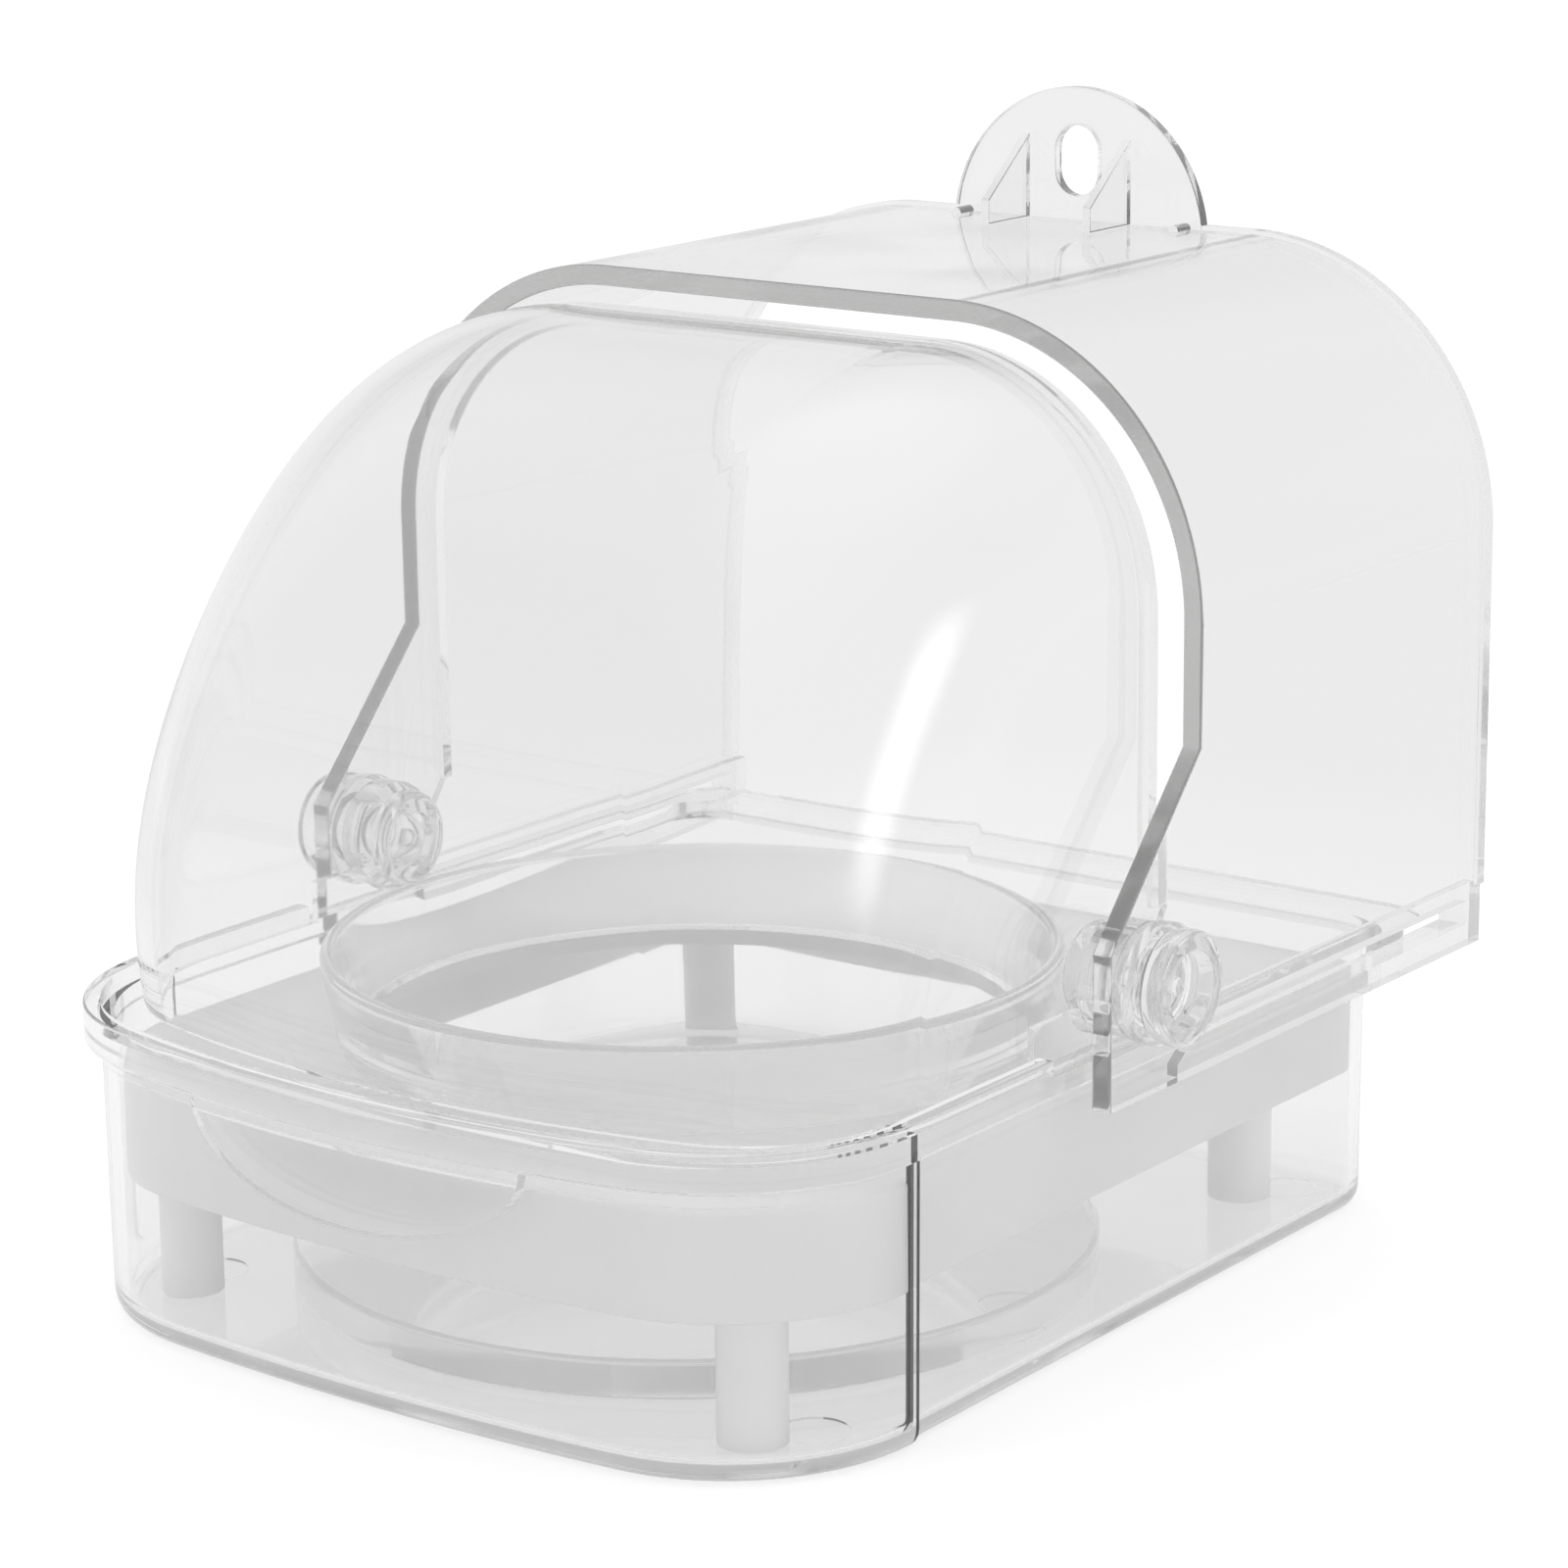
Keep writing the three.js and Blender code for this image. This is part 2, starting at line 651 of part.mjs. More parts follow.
function makeBowl() {
  const down = -Math.PI / 2;
  const turnCentre = BOWL_BASE_Z + BOWL_TURN;
  const lip = BOWL_WALL / 2;
  return turnZ(
    [
      [0, BOWL_BASE_Z],
      ...profileArc(BOWL_BASE_R, turnCentre, BOWL_TURN, down, -BOWL_LEAN, 4),
      [BOWL_NECK_R, SHELF_TOP],
      [BOWL_NECK_R + BOWL_SHOULDER, SHELF_TOP],
      ...profileArc(BOWL_RIM_R - lip, BOWL_RIM_Z - lip, lip, 0, Math.PI, 4),
      [BOWL_NECK_R - BOWL_WALL, SHELF_TOP],
      ...profileArc(BOWL_BASE_R, turnCentre, BOWL_TURN - BOWL_WALL, -BOWL_LEAN, down, 4),
      [0, BOWL_BASE_Z + BOWL_WALL],
    ],
    0,
    BOWL_Y,
    56,
  );
}

function makePlate() {
  const top = TRAY_FLOOR + PLATE_THICK;
  return turnZ(
    [
      [0, TRAY_FLOOR],
      [PLATE_R, TRAY_FLOOR],
      [PLATE_R, top - PLATE_EDGE],
      [PLATE_R - PLATE_EDGE, top],
      [0, top],
    ],
    0,
    BOWL_Y,
    72,
  );
}

// The origin stands on the ground under the middle of the whole feeder.
const MIDDLE_Y = (FLANGE_FRONT + HOOD_LENGTH) / 2;

function meshOf(name, body, colour, roughness) {
  const data = body.getMesh();
  const g = new THREE.BufferGeometry();
  g.setAttribute("position", new THREE.BufferAttribute(new Float32Array(data.vertProperties), 3));
  g.setIndex(new THREE.BufferAttribute(new Uint32Array(data.triVerts), 1));
  g.translate(0, -MIDDLE_Y, 0);
  g.computeVertexNormals();
  const material = new THREE.MeshStandardMaterial({ color: colour, roughness, metalness: 0 });
  const mesh = new THREE.Mesh(g, material);
  mesh.name = name;
  return mesh;
}

const CLEAR = 0xeef1f2;
const FROSTED = 0xe2e4e4;

const pin = makePin();
const cap = makeCap();
const feeder = new THREE.Group();
feeder.name = "cage_feeder";
feeder.add(
  meshOf("hood", makeHood(), CLEAR, 0.06),
  meshOf("visor", makeVisor(), CLEAR, 0.05),
  meshOf("pivot_pin_right", pin, CLEAR, 0.08),
  meshOf("pivot_pin_left", mirrorX(pin), CLEAR, 0.08),
  meshOf("pivot_cap_right", cap, CLEAR, 0.1),
  meshOf("pivot_cap_left", mirrorX(cap), CLEAR, 0.1),
  meshOf("tray", makeTray(), CLEAR, 0.06),
  meshOf("shelf_insert", makeInsert(), FROSTED, 0.5),
  meshOf("bowl", makeBowl(), CLEAR, 0.05),
  meshOf("floor_plate", makePlate(), CLEAR, 0.1),
);

export default feeder;
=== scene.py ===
import math

import bmesh
import bpy
from mathutils import Matrix, Vector


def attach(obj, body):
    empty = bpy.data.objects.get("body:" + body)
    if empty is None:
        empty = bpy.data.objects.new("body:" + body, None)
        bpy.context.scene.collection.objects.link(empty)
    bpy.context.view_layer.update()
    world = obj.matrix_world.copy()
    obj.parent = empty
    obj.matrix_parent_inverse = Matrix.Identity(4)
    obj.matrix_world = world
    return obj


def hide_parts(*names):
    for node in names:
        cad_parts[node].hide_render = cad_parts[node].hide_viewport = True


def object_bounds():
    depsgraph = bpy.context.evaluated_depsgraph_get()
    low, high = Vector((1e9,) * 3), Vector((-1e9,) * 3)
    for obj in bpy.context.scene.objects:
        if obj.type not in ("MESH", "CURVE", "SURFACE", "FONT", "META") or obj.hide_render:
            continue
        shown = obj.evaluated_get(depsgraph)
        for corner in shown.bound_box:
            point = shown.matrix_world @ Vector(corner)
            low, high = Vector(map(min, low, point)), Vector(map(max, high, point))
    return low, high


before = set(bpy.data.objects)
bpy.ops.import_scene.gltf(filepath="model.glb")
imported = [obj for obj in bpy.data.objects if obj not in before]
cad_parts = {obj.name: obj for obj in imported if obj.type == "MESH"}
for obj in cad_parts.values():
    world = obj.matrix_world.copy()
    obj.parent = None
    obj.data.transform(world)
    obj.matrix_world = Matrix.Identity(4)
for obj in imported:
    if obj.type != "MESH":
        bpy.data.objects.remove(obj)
CAD_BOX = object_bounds()
MM = 0.001

# The photograph's viewpoint. The target is near the feeder's middle line.
IMAGE_PX = 1600
FOCAL_PX = 4888
SENSOR_MM = 36
CAMERA_AZIMUTH = 36.89
CAMERA_ELEVATION = 14.34
CAMERA_ROLL = -0.63
CAMERA_DISTANCE = 0.6772
CAMERA_TARGET = Vector((0.0010, 0.0083, 0.0662))

# Sizes in millimetres, the same as the solids'. Y = 0 is the front plane of the hood, -Y is the front.

# Fits and moulded edges
SLIP = 0.3
TRAY_SIDE_GAP = 0.6
INSERT_GAP = 0.5
TOUCH_GAP = 0.02
EDGE_R = 0.4
FINE_EDGE_R = 0.22
SLIVER = 0.06
MERGE_DISTANCE = 1e-5
STEP_FACING = 0.9
SHARP_ANGLE = math.radians(32)

# Hood
HOOD_HALF = 70
HOOD_WALL = 3
HOOD_TOP = 137.5
HOOD_CORNER = 40
HOOD_LENGTH = 78
REAR_RIM = 0.6
REAR_RIM_WIDTH = 2
KINK_Z = 81
EAR_FRONT = -21.5
EAR_SHOULDER_Z = 57.5
SEAM_WIDTH = 0.5
SEAM_PROUD = 0.05
RAIL_DEPTH = 1.6
RAIL_THICK = 3.4
RAIL_TOP_THICK = 2
RAIL_FRONT = -3
RAIL_LEAD = 2.5
SLOT_END_WALL = 4

# Hanging tab
TAB_WIDTH = 44.5
TAB_HEIGHT = 19.8
TAB_THICK = 2.2
TAB_SINK = 1.5
TAB_HOLE_WIDTH = 7.5
TAB_HOLE_HEIGHT = 10.5
TAB_HOLE_UP = 8.8
GUSSET_X = 9
GUSSET_THICK = 1.5
GUSSET_REACH = 11
GUSSET_TALL = 12.5
GUSSET_TOE = 3.5
BEAD_X = 19.4
BEAD_R = 0.9
BEAD_LENGTH = 3.5

# Pivot of the visor
PIVOT_Y = -11
PIVOT_Z = 51.5
PIN_R = 4
HEAD_R = 8.4
HEAD_STEP = 2
HEAD_PROUD = 6
HEAD_GROOVE = 0.9
DISH_R = 5.2
DISH_DEPTH = 3.4
DISH_TURN = 2
NUB_R = 1.3
NUB_HEIGHT = 1.6
CAP_R = 7
CAP_THICK = 2.6
CAP_DISH_SLOPE = 0.8

# Visor
VISOR_SIDE_GAP = 3.6
VISOR_TOP_GAP = 1.4
VISOR_WALL = 2.2
VISOR_REACH = 74
VISOR_SWELL = 5
VISOR_FLATNESS = 0.01
VISOR_REAR = -0.2
VISOR_STEP = 6
VISOR_LOBE = 8.3
VISOR_LOBE_END = 380
VISOR_REAR_FOOT = 7
BOSS_R = 8
BAND_WIDTH = 1.8
BAND_THICK = 1

# Tray
FLANGE_Z = 39.4
FLANGE_THICK = 3.2
FLANGE_FRONT = -94.5
FRONT_OVERHANG = 4.5
TRAY_WALL = 2
TRAY_FLOOR = 2.2
TRAY_FILLET = 3
TRAY_DRAFT = 0.3
RIM_HEIGHT = 2.2
RIM_GAP = 8
LIP_INSET = 2
LIP_HEIGHT = 2.4
GRIP_HALF = 28
GRIP_DROP = 12.5
GRIP_THICK = 2
GRIP_INSET = 0.5
MARK_R = 4.6
MARK_DEPTH = 0.3
MARK_X = 52
MARK_YS = (-63, -19.5, 52)

# Shelf insert
SHELF_TOP = 36
SHELF_THICK = 2.4
SKIRT_BOTTOM = 21
SKIRT_WALL = 1.8
POST_R = 4.6
POST_X = 48.5
POST_YS = (-71.4, 44.7)

# Bowl and floor plate
BOWL_Y = -20.6
BOWL_RIM_Z = 48.5
BOWL_RIM_R = 51
BOWL_WALL = 2
BOWL_NECK_R = 46.4
BOWL_SHOULDER = 2.6
BOWL_BASE_R = 36
BOWL_BASE_Z = 21
BOWL_TURN = 6
BOWL_LEAN = 0.41
PLATE_R = 56
PLATE_THICK = 5.5
PLATE_EDGE = 0.8

# Worked out from the above
HOOD_INNER = HOOD_HALF - HOOD_WALL
RAIL_INNER = HOOD_INNER - RAIL_DEPTH
HOOD_BOTTOM = FLANGE_Z - RAIL_THICK
FLANGE_TOP = FLANGE_Z + FLANGE_THICK
SLOT_TOP = FLANGE_TOP + SLIP
RAIL_TOP = SLOT_TOP + RAIL_TOP_THICK
SLOT_END = HOOD_LENGTH - SLOT_END_WALL
SPRING_Z = HOOD_TOP - HOOD_CORNER
VISOR_HALF = HOOD_INNER - VISOR_SIDE_GAP
VISOR_RISE = HOOD_TOP - HOOD_WALL - VISOR_TOP_GAP - PIVOT_Z
FLANGE_HALF = HOOD_INNER - TRAY_SIDE_GAP
RIM_INSET = FLANGE_HALF - VISOR_HALF
RIM_END = EAR_FRONT - RIM_GAP
TAB_FACE = HOOD_LENGTH - TAB_THICK
HOOD_FRONT = CAD_BOX[1][1] / MM - HOOD_LENGTH

# Cutters run past what they cut
PAST = 1
FAR = 300

# Facets of round forms: per full turn, or per arc
ROUND_FACETS = 160
PIVOT_FACETS = 96
BORE_FACETS = 70
POST_FACETS = 64
MARK_FACETS = 48
BOW_STEPS = 20
CORNER_STEPS = 32
REAR_CORNER_STEPS = 16
ARCH_STEPS = 48
TAB_STEPS = 96
TAB_HOLE_STEPS = 32
BEAD_FACETS = 24
LOBE_STEPS = 48
DOME_STEPS = 180
DOME_BOW_STEPS = 10
DOME_CORNER_STEPS = 22
GRIP_STEPS = 45
TURN_STEPS = 14
DISH_STEPS = 10
COLLAR_STEPS = 8
NUB_STEPS = 6
EDGE_STEPS = 5
FINE_STEPS = 4
BEVEL_STEPS = 3

TRAY_PLAN = {
    "half": RAIL_INNER - TRAY_SIDE_GAP - SLIP,
    "front": FLANGE_FRONT + FRONT_OVERHANG,
    "rear": 61.5,
    "bow": 400,
    "corner": 30,
    "rear_corner": 10,
    "crease": -1,
}
FLANGE_PLAN = {
    "half": FLANGE_HALF,
    "front": FLANGE_FRONT,
    "rear": 68,
    "bow": 200,
    "corner": 30,
    "rear_corner": 8,
    "crease": 0,
}
CROWN_CORNER = HOOD_CORNER - HOOD_WALL - VISOR_SIDE_GAP
FOOT_CORNER = FLANGE_PLAN["corner"] - RIM_INSET
FOOT_BOW = FLANGE_PLAN["bow"] - RIM_INSET


def link(obj):
    bpy.context.scene.collection.objects.link(obj)
    return obj


# Solids

def body(points, faces):
    """A closed mesh with its faces turned outwards."""
    bm = bmesh.new()
    verts = [bm.verts.new(point) for point in points]
    for face in faces:
        bm.faces.new([verts[i] for i in face])
    bmesh.ops.remove_doubles(bm, verts=bm.verts, dist=MERGE_DISTANCE)
    bmesh.ops.recalc_face_normals(bm, faces=bm.faces)
    if bm.calc_volume(signed=True) < 0:
        bmesh.ops.reverse_faces(bm, faces=bm.faces)
    mesh = bpy.data.meshes.new("body")
    bm.to_mesh(mesh)
    bm.free()
    return link(bpy.data.objects.new("body", mesh))


def combine(first, second, operation):
    step = first.modifiers.new("step", "BOOLEAN")
    step.operation = operation
    step.solver = "MANIFOLD"
    step.object = second
    graph = bpy.context.evaluated_depsgraph_get()
    mesh = bpy.data.meshes.new_from_object(first.evaluated_get(graph))
    first.modifiers.clear()
    spent = first.data, second.data
    first.data = mesh
    bpy.data.objects.remove(second)
    for used in spent:
        bpy.data.meshes.remove(used)
    return first


def union(first, *others):
    for other in others:
        combine(first, other, "UNION")
    return first


def cut(first, *others):
    for other in others:
        combine(first, other, "DIFFERENCE")
    return first


def within(first, other):
    return combine(first, other, "INTERSECT")


def rings_body(rings):
    """Skin over closed rings of equal counts, with a lid on the first and the last."""
    count = len(rings[0])
    faces = [tuple(range(count)), tuple(range((len(rings) - 1) * count, len(rings) * count))]
    for k in range(len(rings) - 1):
        for j in range(count):
            a, b = k * count + j, k * count + (j + 1) % count
            faces.append((a, b, b + count, a + count))
    return body([point for ring in rings for point in ring], faces)


def prism_x(shape, x0, x1):
    return rings_body([[(x, y, z) for y, z in shape] for x in (x0, x1)])


def prism_y(shape, y0, y1):
    return rings_body([[(x, y, z) for x, z in shape] for y in (y0, y1)])


def box(x0, x1, y0, y1, z0, z1):
    return prism_x([(y0, z0), (y1, z0), (y1, z1), (y0, z1)], x0, x1)


def turned(profile, segments, place):
    """Solid of revolution: profile in (radius, height) starts and ends on the axis."""
    points, faces = [], []
    count = len(profile)
    for i in range(segments):
        angle = 2 * math.pi * i / segments
        points += [place(r * math.cos(angle), r * math.sin(angle), h) for r, h in profile]
    for i in range(segments):
        a, b = i * count, (i + 1) % segments * count
        faces.append((a, a + 1, b + 1))
        for j in range(1, count - 2):
            faces.append((a + j, a + j + 1, b + j + 1, b + j))
        faces.append((a + count - 2, a + count - 1, b + count - 2))
    bottom, top = len(points), len(points) + 1
    points += [place(0, 0, profile[0][1]), place(0, 0, profile[-1][1])]
    swap = {i * count: bottom for i in range(segments)}
    swap |= {i * count + count - 1: top for i in range(segments)}
    used = sorted({swap.get(v, v) for face in faces for v in face})
    order = {v: n for n, v in enumerate(used)}
    return body([points[v] for v in used], [[order[swap.get(v, v)] for v in face] for face in faces])


def turn_x(profile, segments=PIVOT_FACETS):
    """About the pivot axis, profile in (radius, x)."""
    return turned(profile, segments, lambda u, v, h: (h, PIVOT_Y + u, PIVOT_Z + v))


def turn_z(profile, x, y, segments=ROUND_FACETS):
    return turned(profile, segments, lambda u, v, h: (x + u, y + v, h))


def rod(radius, start, end):
    return [(0, start), (radius, start), (radius, end), (0, end)]


def arc(u, v, radius, start, end, steps):
    """Points of an arc, angles in degrees."""
    angles = [math.radians(start + (end - start) * i / steps) for i in range(steps + 1)]
    return [(u + radius * math.cos(a), v + radius * math.sin(a)) for a in angles]


def mirrored(piece):
    bm = bmesh.new()
    bm.from_mesh(piece.data)
    bmesh.ops.scale(bm, verts=bm.verts, vec=(-1, 1, 1))
    bmesh.ops.reverse_faces(bm, faces=bm.faces)
    mesh = bpy.data.meshes.new("body")
    bm.to_mesh(mesh)
    bm.free()
    return link(bpy.data.objects.new("body", mesh))


def both(piece):
    return union(piece, mirrored(piece))


def side_start(plan):
    """Where the corner arc of a bowed front meets the straight side."""
    across = plan["half"] - plan["crease"] - plan["corner"]
    return plan["front"] + plan["bow"] - math.sqrt((plan["bow"] - plan["corner"]) ** 2 - across**2)


def bowed_front(plan, inset, bow_steps, corner_steps):
    """Right half of a bowed front: a wide arc and the corner arc that touches it."""
    across = plan["half"] - plan["crease"] - plan["corner"]
    bow_y = plan["front"] + plan["bow"]
    corner_y = side_start(plan)
    meet = math.degrees(math.atan2(across, bow_y - corner_y))
    wide = arc(0, bow_y, plan["bow"] - inset, -90, meet - 90, bow_steps)
    return wide[:-1] + arc(across, corner_y, plan["corner"] - inset, meet - 90, 0, corner_steps)


def outline(plan, inset):
    """Closed plan outline: bowed front, straight sides, rounded rear corners."""
    right = bowed_front(plan, inset, BOW_STEPS, CORNER_STEPS)
    if plan["crease"]:
        right.append((plan["half"] - inset, side_start(plan)))
    r = plan["rear_corner"]
    right += arc(plan["half"] - r, plan["rear"] - r, r - inset, 0, 90, REAR_CORNER_STEPS)
    return right + [(-x, y) for x, y in reversed(right[1:])]


def pile(plan, levels):
    """Solid through plan outlines, each level given as (z, inset), from the bottom up."""
    return rings_body([[(x, y, z) for x, y in outline(plan, inset)] for z, inset in levels])


def slab_levels(z0, z1, inset, low=0.0, high=0.0):
    """Levels of a slab with its lower and upper edges rounded."""
    turns = [math.radians(90 * i / EDGE_STEPS) for i in range(EDGE_STEPS + 1)]
    bottom = [(z0 + low * (1 - math.cos(t)), inset + low * (1 - math.sin(t))) for t in turns]
    top = [(z1 - high * (1 - math.cos(t)), inset + high * (1 - math.sin(t))) for t in reversed(turns)]
    return (bottom if low else [(z0, inset)]) + (top if high else [(z1, inset)])


def slab(plan, inset, z0, z1, low=0.0, high=0.0):
    return pile(plan, slab_levels(z0, z1, inset, low, high))


def vessel_levels(z0, z1, inset, fillet, draft):
    """Levels of a vessel whose bottom edge is rounded, with draft towards the bottom."""
    levels = slab_levels(z0, z1, inset, fillet)
    return [(z, i + draft * (z1 - z) / (z1 - z0)) for z, i in levels]


# Dressed pieces

def soften(piece, width, chosen):
    """Rounds the outer corners that are chosen by their middle point."""
    bm = bmesh.new()
    bm.from_mesh(piece.data)
    bmesh.ops.dissolve_degenerate(bm, dist=SLIVER, edges=bm.edges)
    corners = [
        e
        for e in bm.edges
        if e.is_manifold
        and e.is_convex
        and e.calc_face_angle() > SHARP_ANGLE
        and chosen((e.verts[0].co + e.verts[1].co) / 2)
    ]
    bmesh.ops.bevel(
        bm,
        geom=corners,
        offset=width,
        segments=BEVEL_STEPS,
        profile=0.5,
        affect="EDGES",
        clamp_overlap=True,
    )
    bm.to_mesh(piece.data)
    bm.free()
    return piece


def dressed(piece, name, node, carrier, material):
    """Puts a finished solid into the frame in place of a node.

    It lies a hair inside the node's own solid, so that pieces never share a face.
    """
    bm = bmesh.new()
    bm.from_mesh(piece.data)
    bmesh.ops.triangulate(bm, faces=[f for f in bm.faces if len(f.verts) > 4])
    bm.normal_update()
    inward = [(v, v.normal * TOUCH_GAP) for v in bm.verts]
    for vertex, move in inward:
        vertex.co = (vertex.co - move + Vector((0, HOOD_FRONT, 0))) * MM
    bm.to_mesh(piece.data)
    bm.free()
    piece.name = piece.data.name = name
    for polygon in piece.data.polygons:
        polygon.use_smooth = True
    piece.data.set_sharp_from_angle(angle=SHARP_ANGLE)
    piece.data.materials.clear()
    piece.data.materials.append(material)
    even = piece.modifiers.new("even_normals", "WEIGHTED_NORMAL")
    even.keep_sharp = True
    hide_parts(node)
    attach(piece, carrier)
    return piece


def line_edge(piece, material, y):
    """Gives the narrow step faces in a plane across Y a skin of their own, which carries the painted
    shade of the crease.
    """
    piece.data.materials.append(material)
    for polygon in piece.data.polygons:
        across = abs(polygon.normal.y) > STEP_FACING
        if across and abs(polygon.center.y - y) < EDGE_R * MM:
            polygon.material_index = 1


def bore():
    return turn_x(rod(PIN_R + SLIP, -FAR, FAR), BORE_FACETS)


def arch(offset, bottom):
    """Outline of the hood in (x, z), grown or shrunk by an offset."""
    half = HOOD_HALF + offset
    flat = HOOD_HALF - HOOD_CORNER
    right = [(half, bottom)] + arc(flat, SPRING_Z, HOOD_CORNER + offset, 0, 90, ARCH_STEPS)
    return right + [(-x, z) for x, z in reversed(right)]


def tray_channel():
    """Right-hand channel for the tray flange: the rails, and the window cut between them."""
    lower = [
        (RAIL_FRONT, HOOD_BOTTOM),
        (HOOD_LENGTH, HOOD_BOTTOM),
        (HOOD_LENGTH, FLANGE_Z),
        (RAIL_FRONT + RAIL_LEAD, FLANGE_Z),
        (RAIL_FRONT, FLANGE_Z - RAIL_THICK / 2),
    ]
    upper = [
        (RAIL_FRONT, SLOT_TOP + RAIL_TOP_THICK / 2),
        (RAIL_FRONT + RAIL_LEAD, SLOT_TOP),
        (HOOD_LENGTH, SLOT_TOP),
        (HOOD_LENGTH, RAIL_TOP),
        (RAIL_FRONT, RAIL_TOP),
    ]
    window = [
        (RAIL_FRONT, FLANGE_Z + SLIP),
        (RAIL_FRONT + RAIL_LEAD, FLANGE_Z),
        (SLOT_END, FLANGE_Z),
        (SLOT_END, SLOT_TOP),
        (RAIL_FRONT + RAIL_LEAD, SLOT_TOP),
        (RAIL_FRONT, SLOT_TOP - SLIP),
    ]
    weld = HOOD_INNER + HOOD_WALL / 2
    rails = union(
        prism_x(lower, RAIL_INNER, weld),
        prism_x(upper, RAIL_INNER, weld),
        box(RAIL_INNER, weld, SLOT_END, HOOD_LENGTH, HOOD_BOTTOM, RAIL_TOP),
    )
    return rails, prism_x(window, RAIL_INNER - PAST, FAR)


def hanging_tab():
    radius = TAB_WIDTH / 2
    centre = HOOD_TOP + TAB_HEIGHT - radius
    foot = math.degrees(math.asin((HOOD_TOP - TAB_SINK - centre) / radius))
    hole_r = TAB_HOLE_WIDTH / 2
    reach = TAB_HOLE_HEIGHT / 2 - hole_r
    hole_z = HOOD_TOP + TAB_HOLE_UP

    def plate(inset):
        return arc(0, centre, radius - inset, foot, 180 - foot, TAB_STEPS)

    def slot(flare):
        upper = arc(0, hole_z + reach, hole_r + flare, 0, 180, TAB_HOLE_STEPS)
        return upper + arc(0, hole_z - reach, hole_r + flare, 180, 360, TAB_HOLE_STEPS)

    levels = slab_levels(TAB_FACE, HOOD_LENGTH, 0, EDGE_R, EDGE_R)
    through = [(TAB_FACE - PAST, EDGE_R)] + levels + [(HOOD_LENGTH + PAST, EDGE_R)]
    tab = rings_body([[(x, y, z) for x, z in plate(inset)] for y, inset in levels])
    return cut(tab, rings_body([[(x, y, z) for x, z in slot(inset)] for y, inset in through]))


def tab_fittings():
    """Right-hand gusset and foot bead of the tab."""
    middle = TAB_FACE + TAB_THICK / 2
    gusset = [
        (middle, HOOD_TOP - TAB_SINK),
        (middle, HOOD_TOP + GUSSET_TALL),
        (TAB_FACE, HOOD_TOP + GUSSET_TALL),
        (TAB_FACE - GUSSET_REACH, HOOD_TOP + GUSSET_TOE),
        (TAB_FACE - GUSSET_REACH, HOOD_TOP - TAB_SINK),
    ]
    rib = prism_x(gusset, GUSSET_X - GUSSET_THICK / 2, GUSSET_X + GUSSET_THICK / 2)
    soften(rib, FINE_EDGE_R, lambda p: p.y < TAB_FACE and p.z > HOOD_TOP)
    bead = arc(BEAD_X, HOOD_TOP, BEAD_R, 0, 360, BEAD_FACETS)[:-1]
    return union(rib, prism_y(bead, TAB_FACE - BEAD_LENGTH, middle))


def hood():
    side = [
        (0, FAR),
        (0, KINK_Z),
        (EAR_FRONT, EAR_SHOULDER_Z),
        (EAR_FRONT, HOOD_BOTTOM),
        (HOOD_LENGTH, HOOD_BOTTOM),
        (HOOD_LENGTH, FAR),
    ]
    shell = within(prism_y(arch(0, 0), EAR_FRONT, HOOD_LENGTH), prism_x(side, -FAR, FAR))
    rim_front = HOOD_LENGTH - REAR_RIM_WIDTH
    rear_rim = prism_y(arch(REAR_RIM, RAIL_TOP), rim_front, HOOD_LENGTH)
    cut(union(shell, rear_rim), prism_y(arch(-HOOD_WALL, 0), -FAR, FAR))
    soften(shell, EDGE_R, lambda p: p.y < rim_front - PAST and p.z > HOOD_BOTTOM + PAST)
    seam = [
        (HOOD_HALF - HOOD_WALL / 2, SPRING_Z - SEAM_WIDTH / 2),
        (HOOD_HALF, SPRING_Z - SEAM_WIDTH / 2),
        (HOOD_HALF + SEAM_PROUD, SPRING_Z),
        (HOOD_HALF, SPRING_Z + SEAM_WIDTH / 2),
        (HOOD_HALF - HOOD_WALL / 2, SPRING_Z + SEAM_WIDTH / 2),
    ]
    rails, window = tray_channel()
    union(shell, both(prism_y(seam, EDGE_R, rim_front)), both(rails))
    cut(shell, both(window))
    union(shell, hanging_tab(), both(tab_fittings()))
    return cut(shell, bore())


def drum(inset):
    """Oval drum on the axis of the pivot.

    Its crown follows the arch of the hood, its foot the rim of the tray.
    """
    points, faces = [], []
    for i in range(DOME_STEPS):
        angle = 2 * math.pi * (i + 0.5) / DOME_STEPS
        foot_share = 1 - math.cos(angle)
        swell = VISOR_SWELL * math.sin(2 * angle) ** 2
        section = {
            "half": VISOR_HALF,
            "front": -1 / math.hypot(math.sin(angle) / VISOR_REACH, math.cos(angle) / VISOR_RISE),
            "bow": FOOT_BOW / max(foot_share, VISOR_FLATNESS),
            "corner": CROWN_CORNER + (FOOT_CORNER - CROWN_CORNER) * foot_share + swell,
            "crease": 0,
        }
        right = bowed_front(section, inset, DOME_BOW_STEPS, DOME_CORNER_STEPS)
        across = [(-x, y) for x, y in reversed(right[1:])] + right
        points += [
            (x, PIVOT_Y + y * math.sin(angle), PIVOT_Z - y * math.cos(angle)) for x, y in across
        ]
    span = len(across)
    left, right = len(points), len(points) + 1
    points += [(inset - VISOR_HALF, PIVOT_Y, PIVOT_Z), (VISOR_HALF - inset, PIVOT_Y, PIVOT_Z)]
    for i in range(DOME_STEPS):
        a, b = i * span, (i + 1) % DOME_STEPS * span
        faces += [(left, a, b), (right, b + span - 1, a + span - 1)]
        faces += [(a + j, a + j + 1, b + j + 1, b + j) for j in range(span - 1)]
    return body(points, faces)


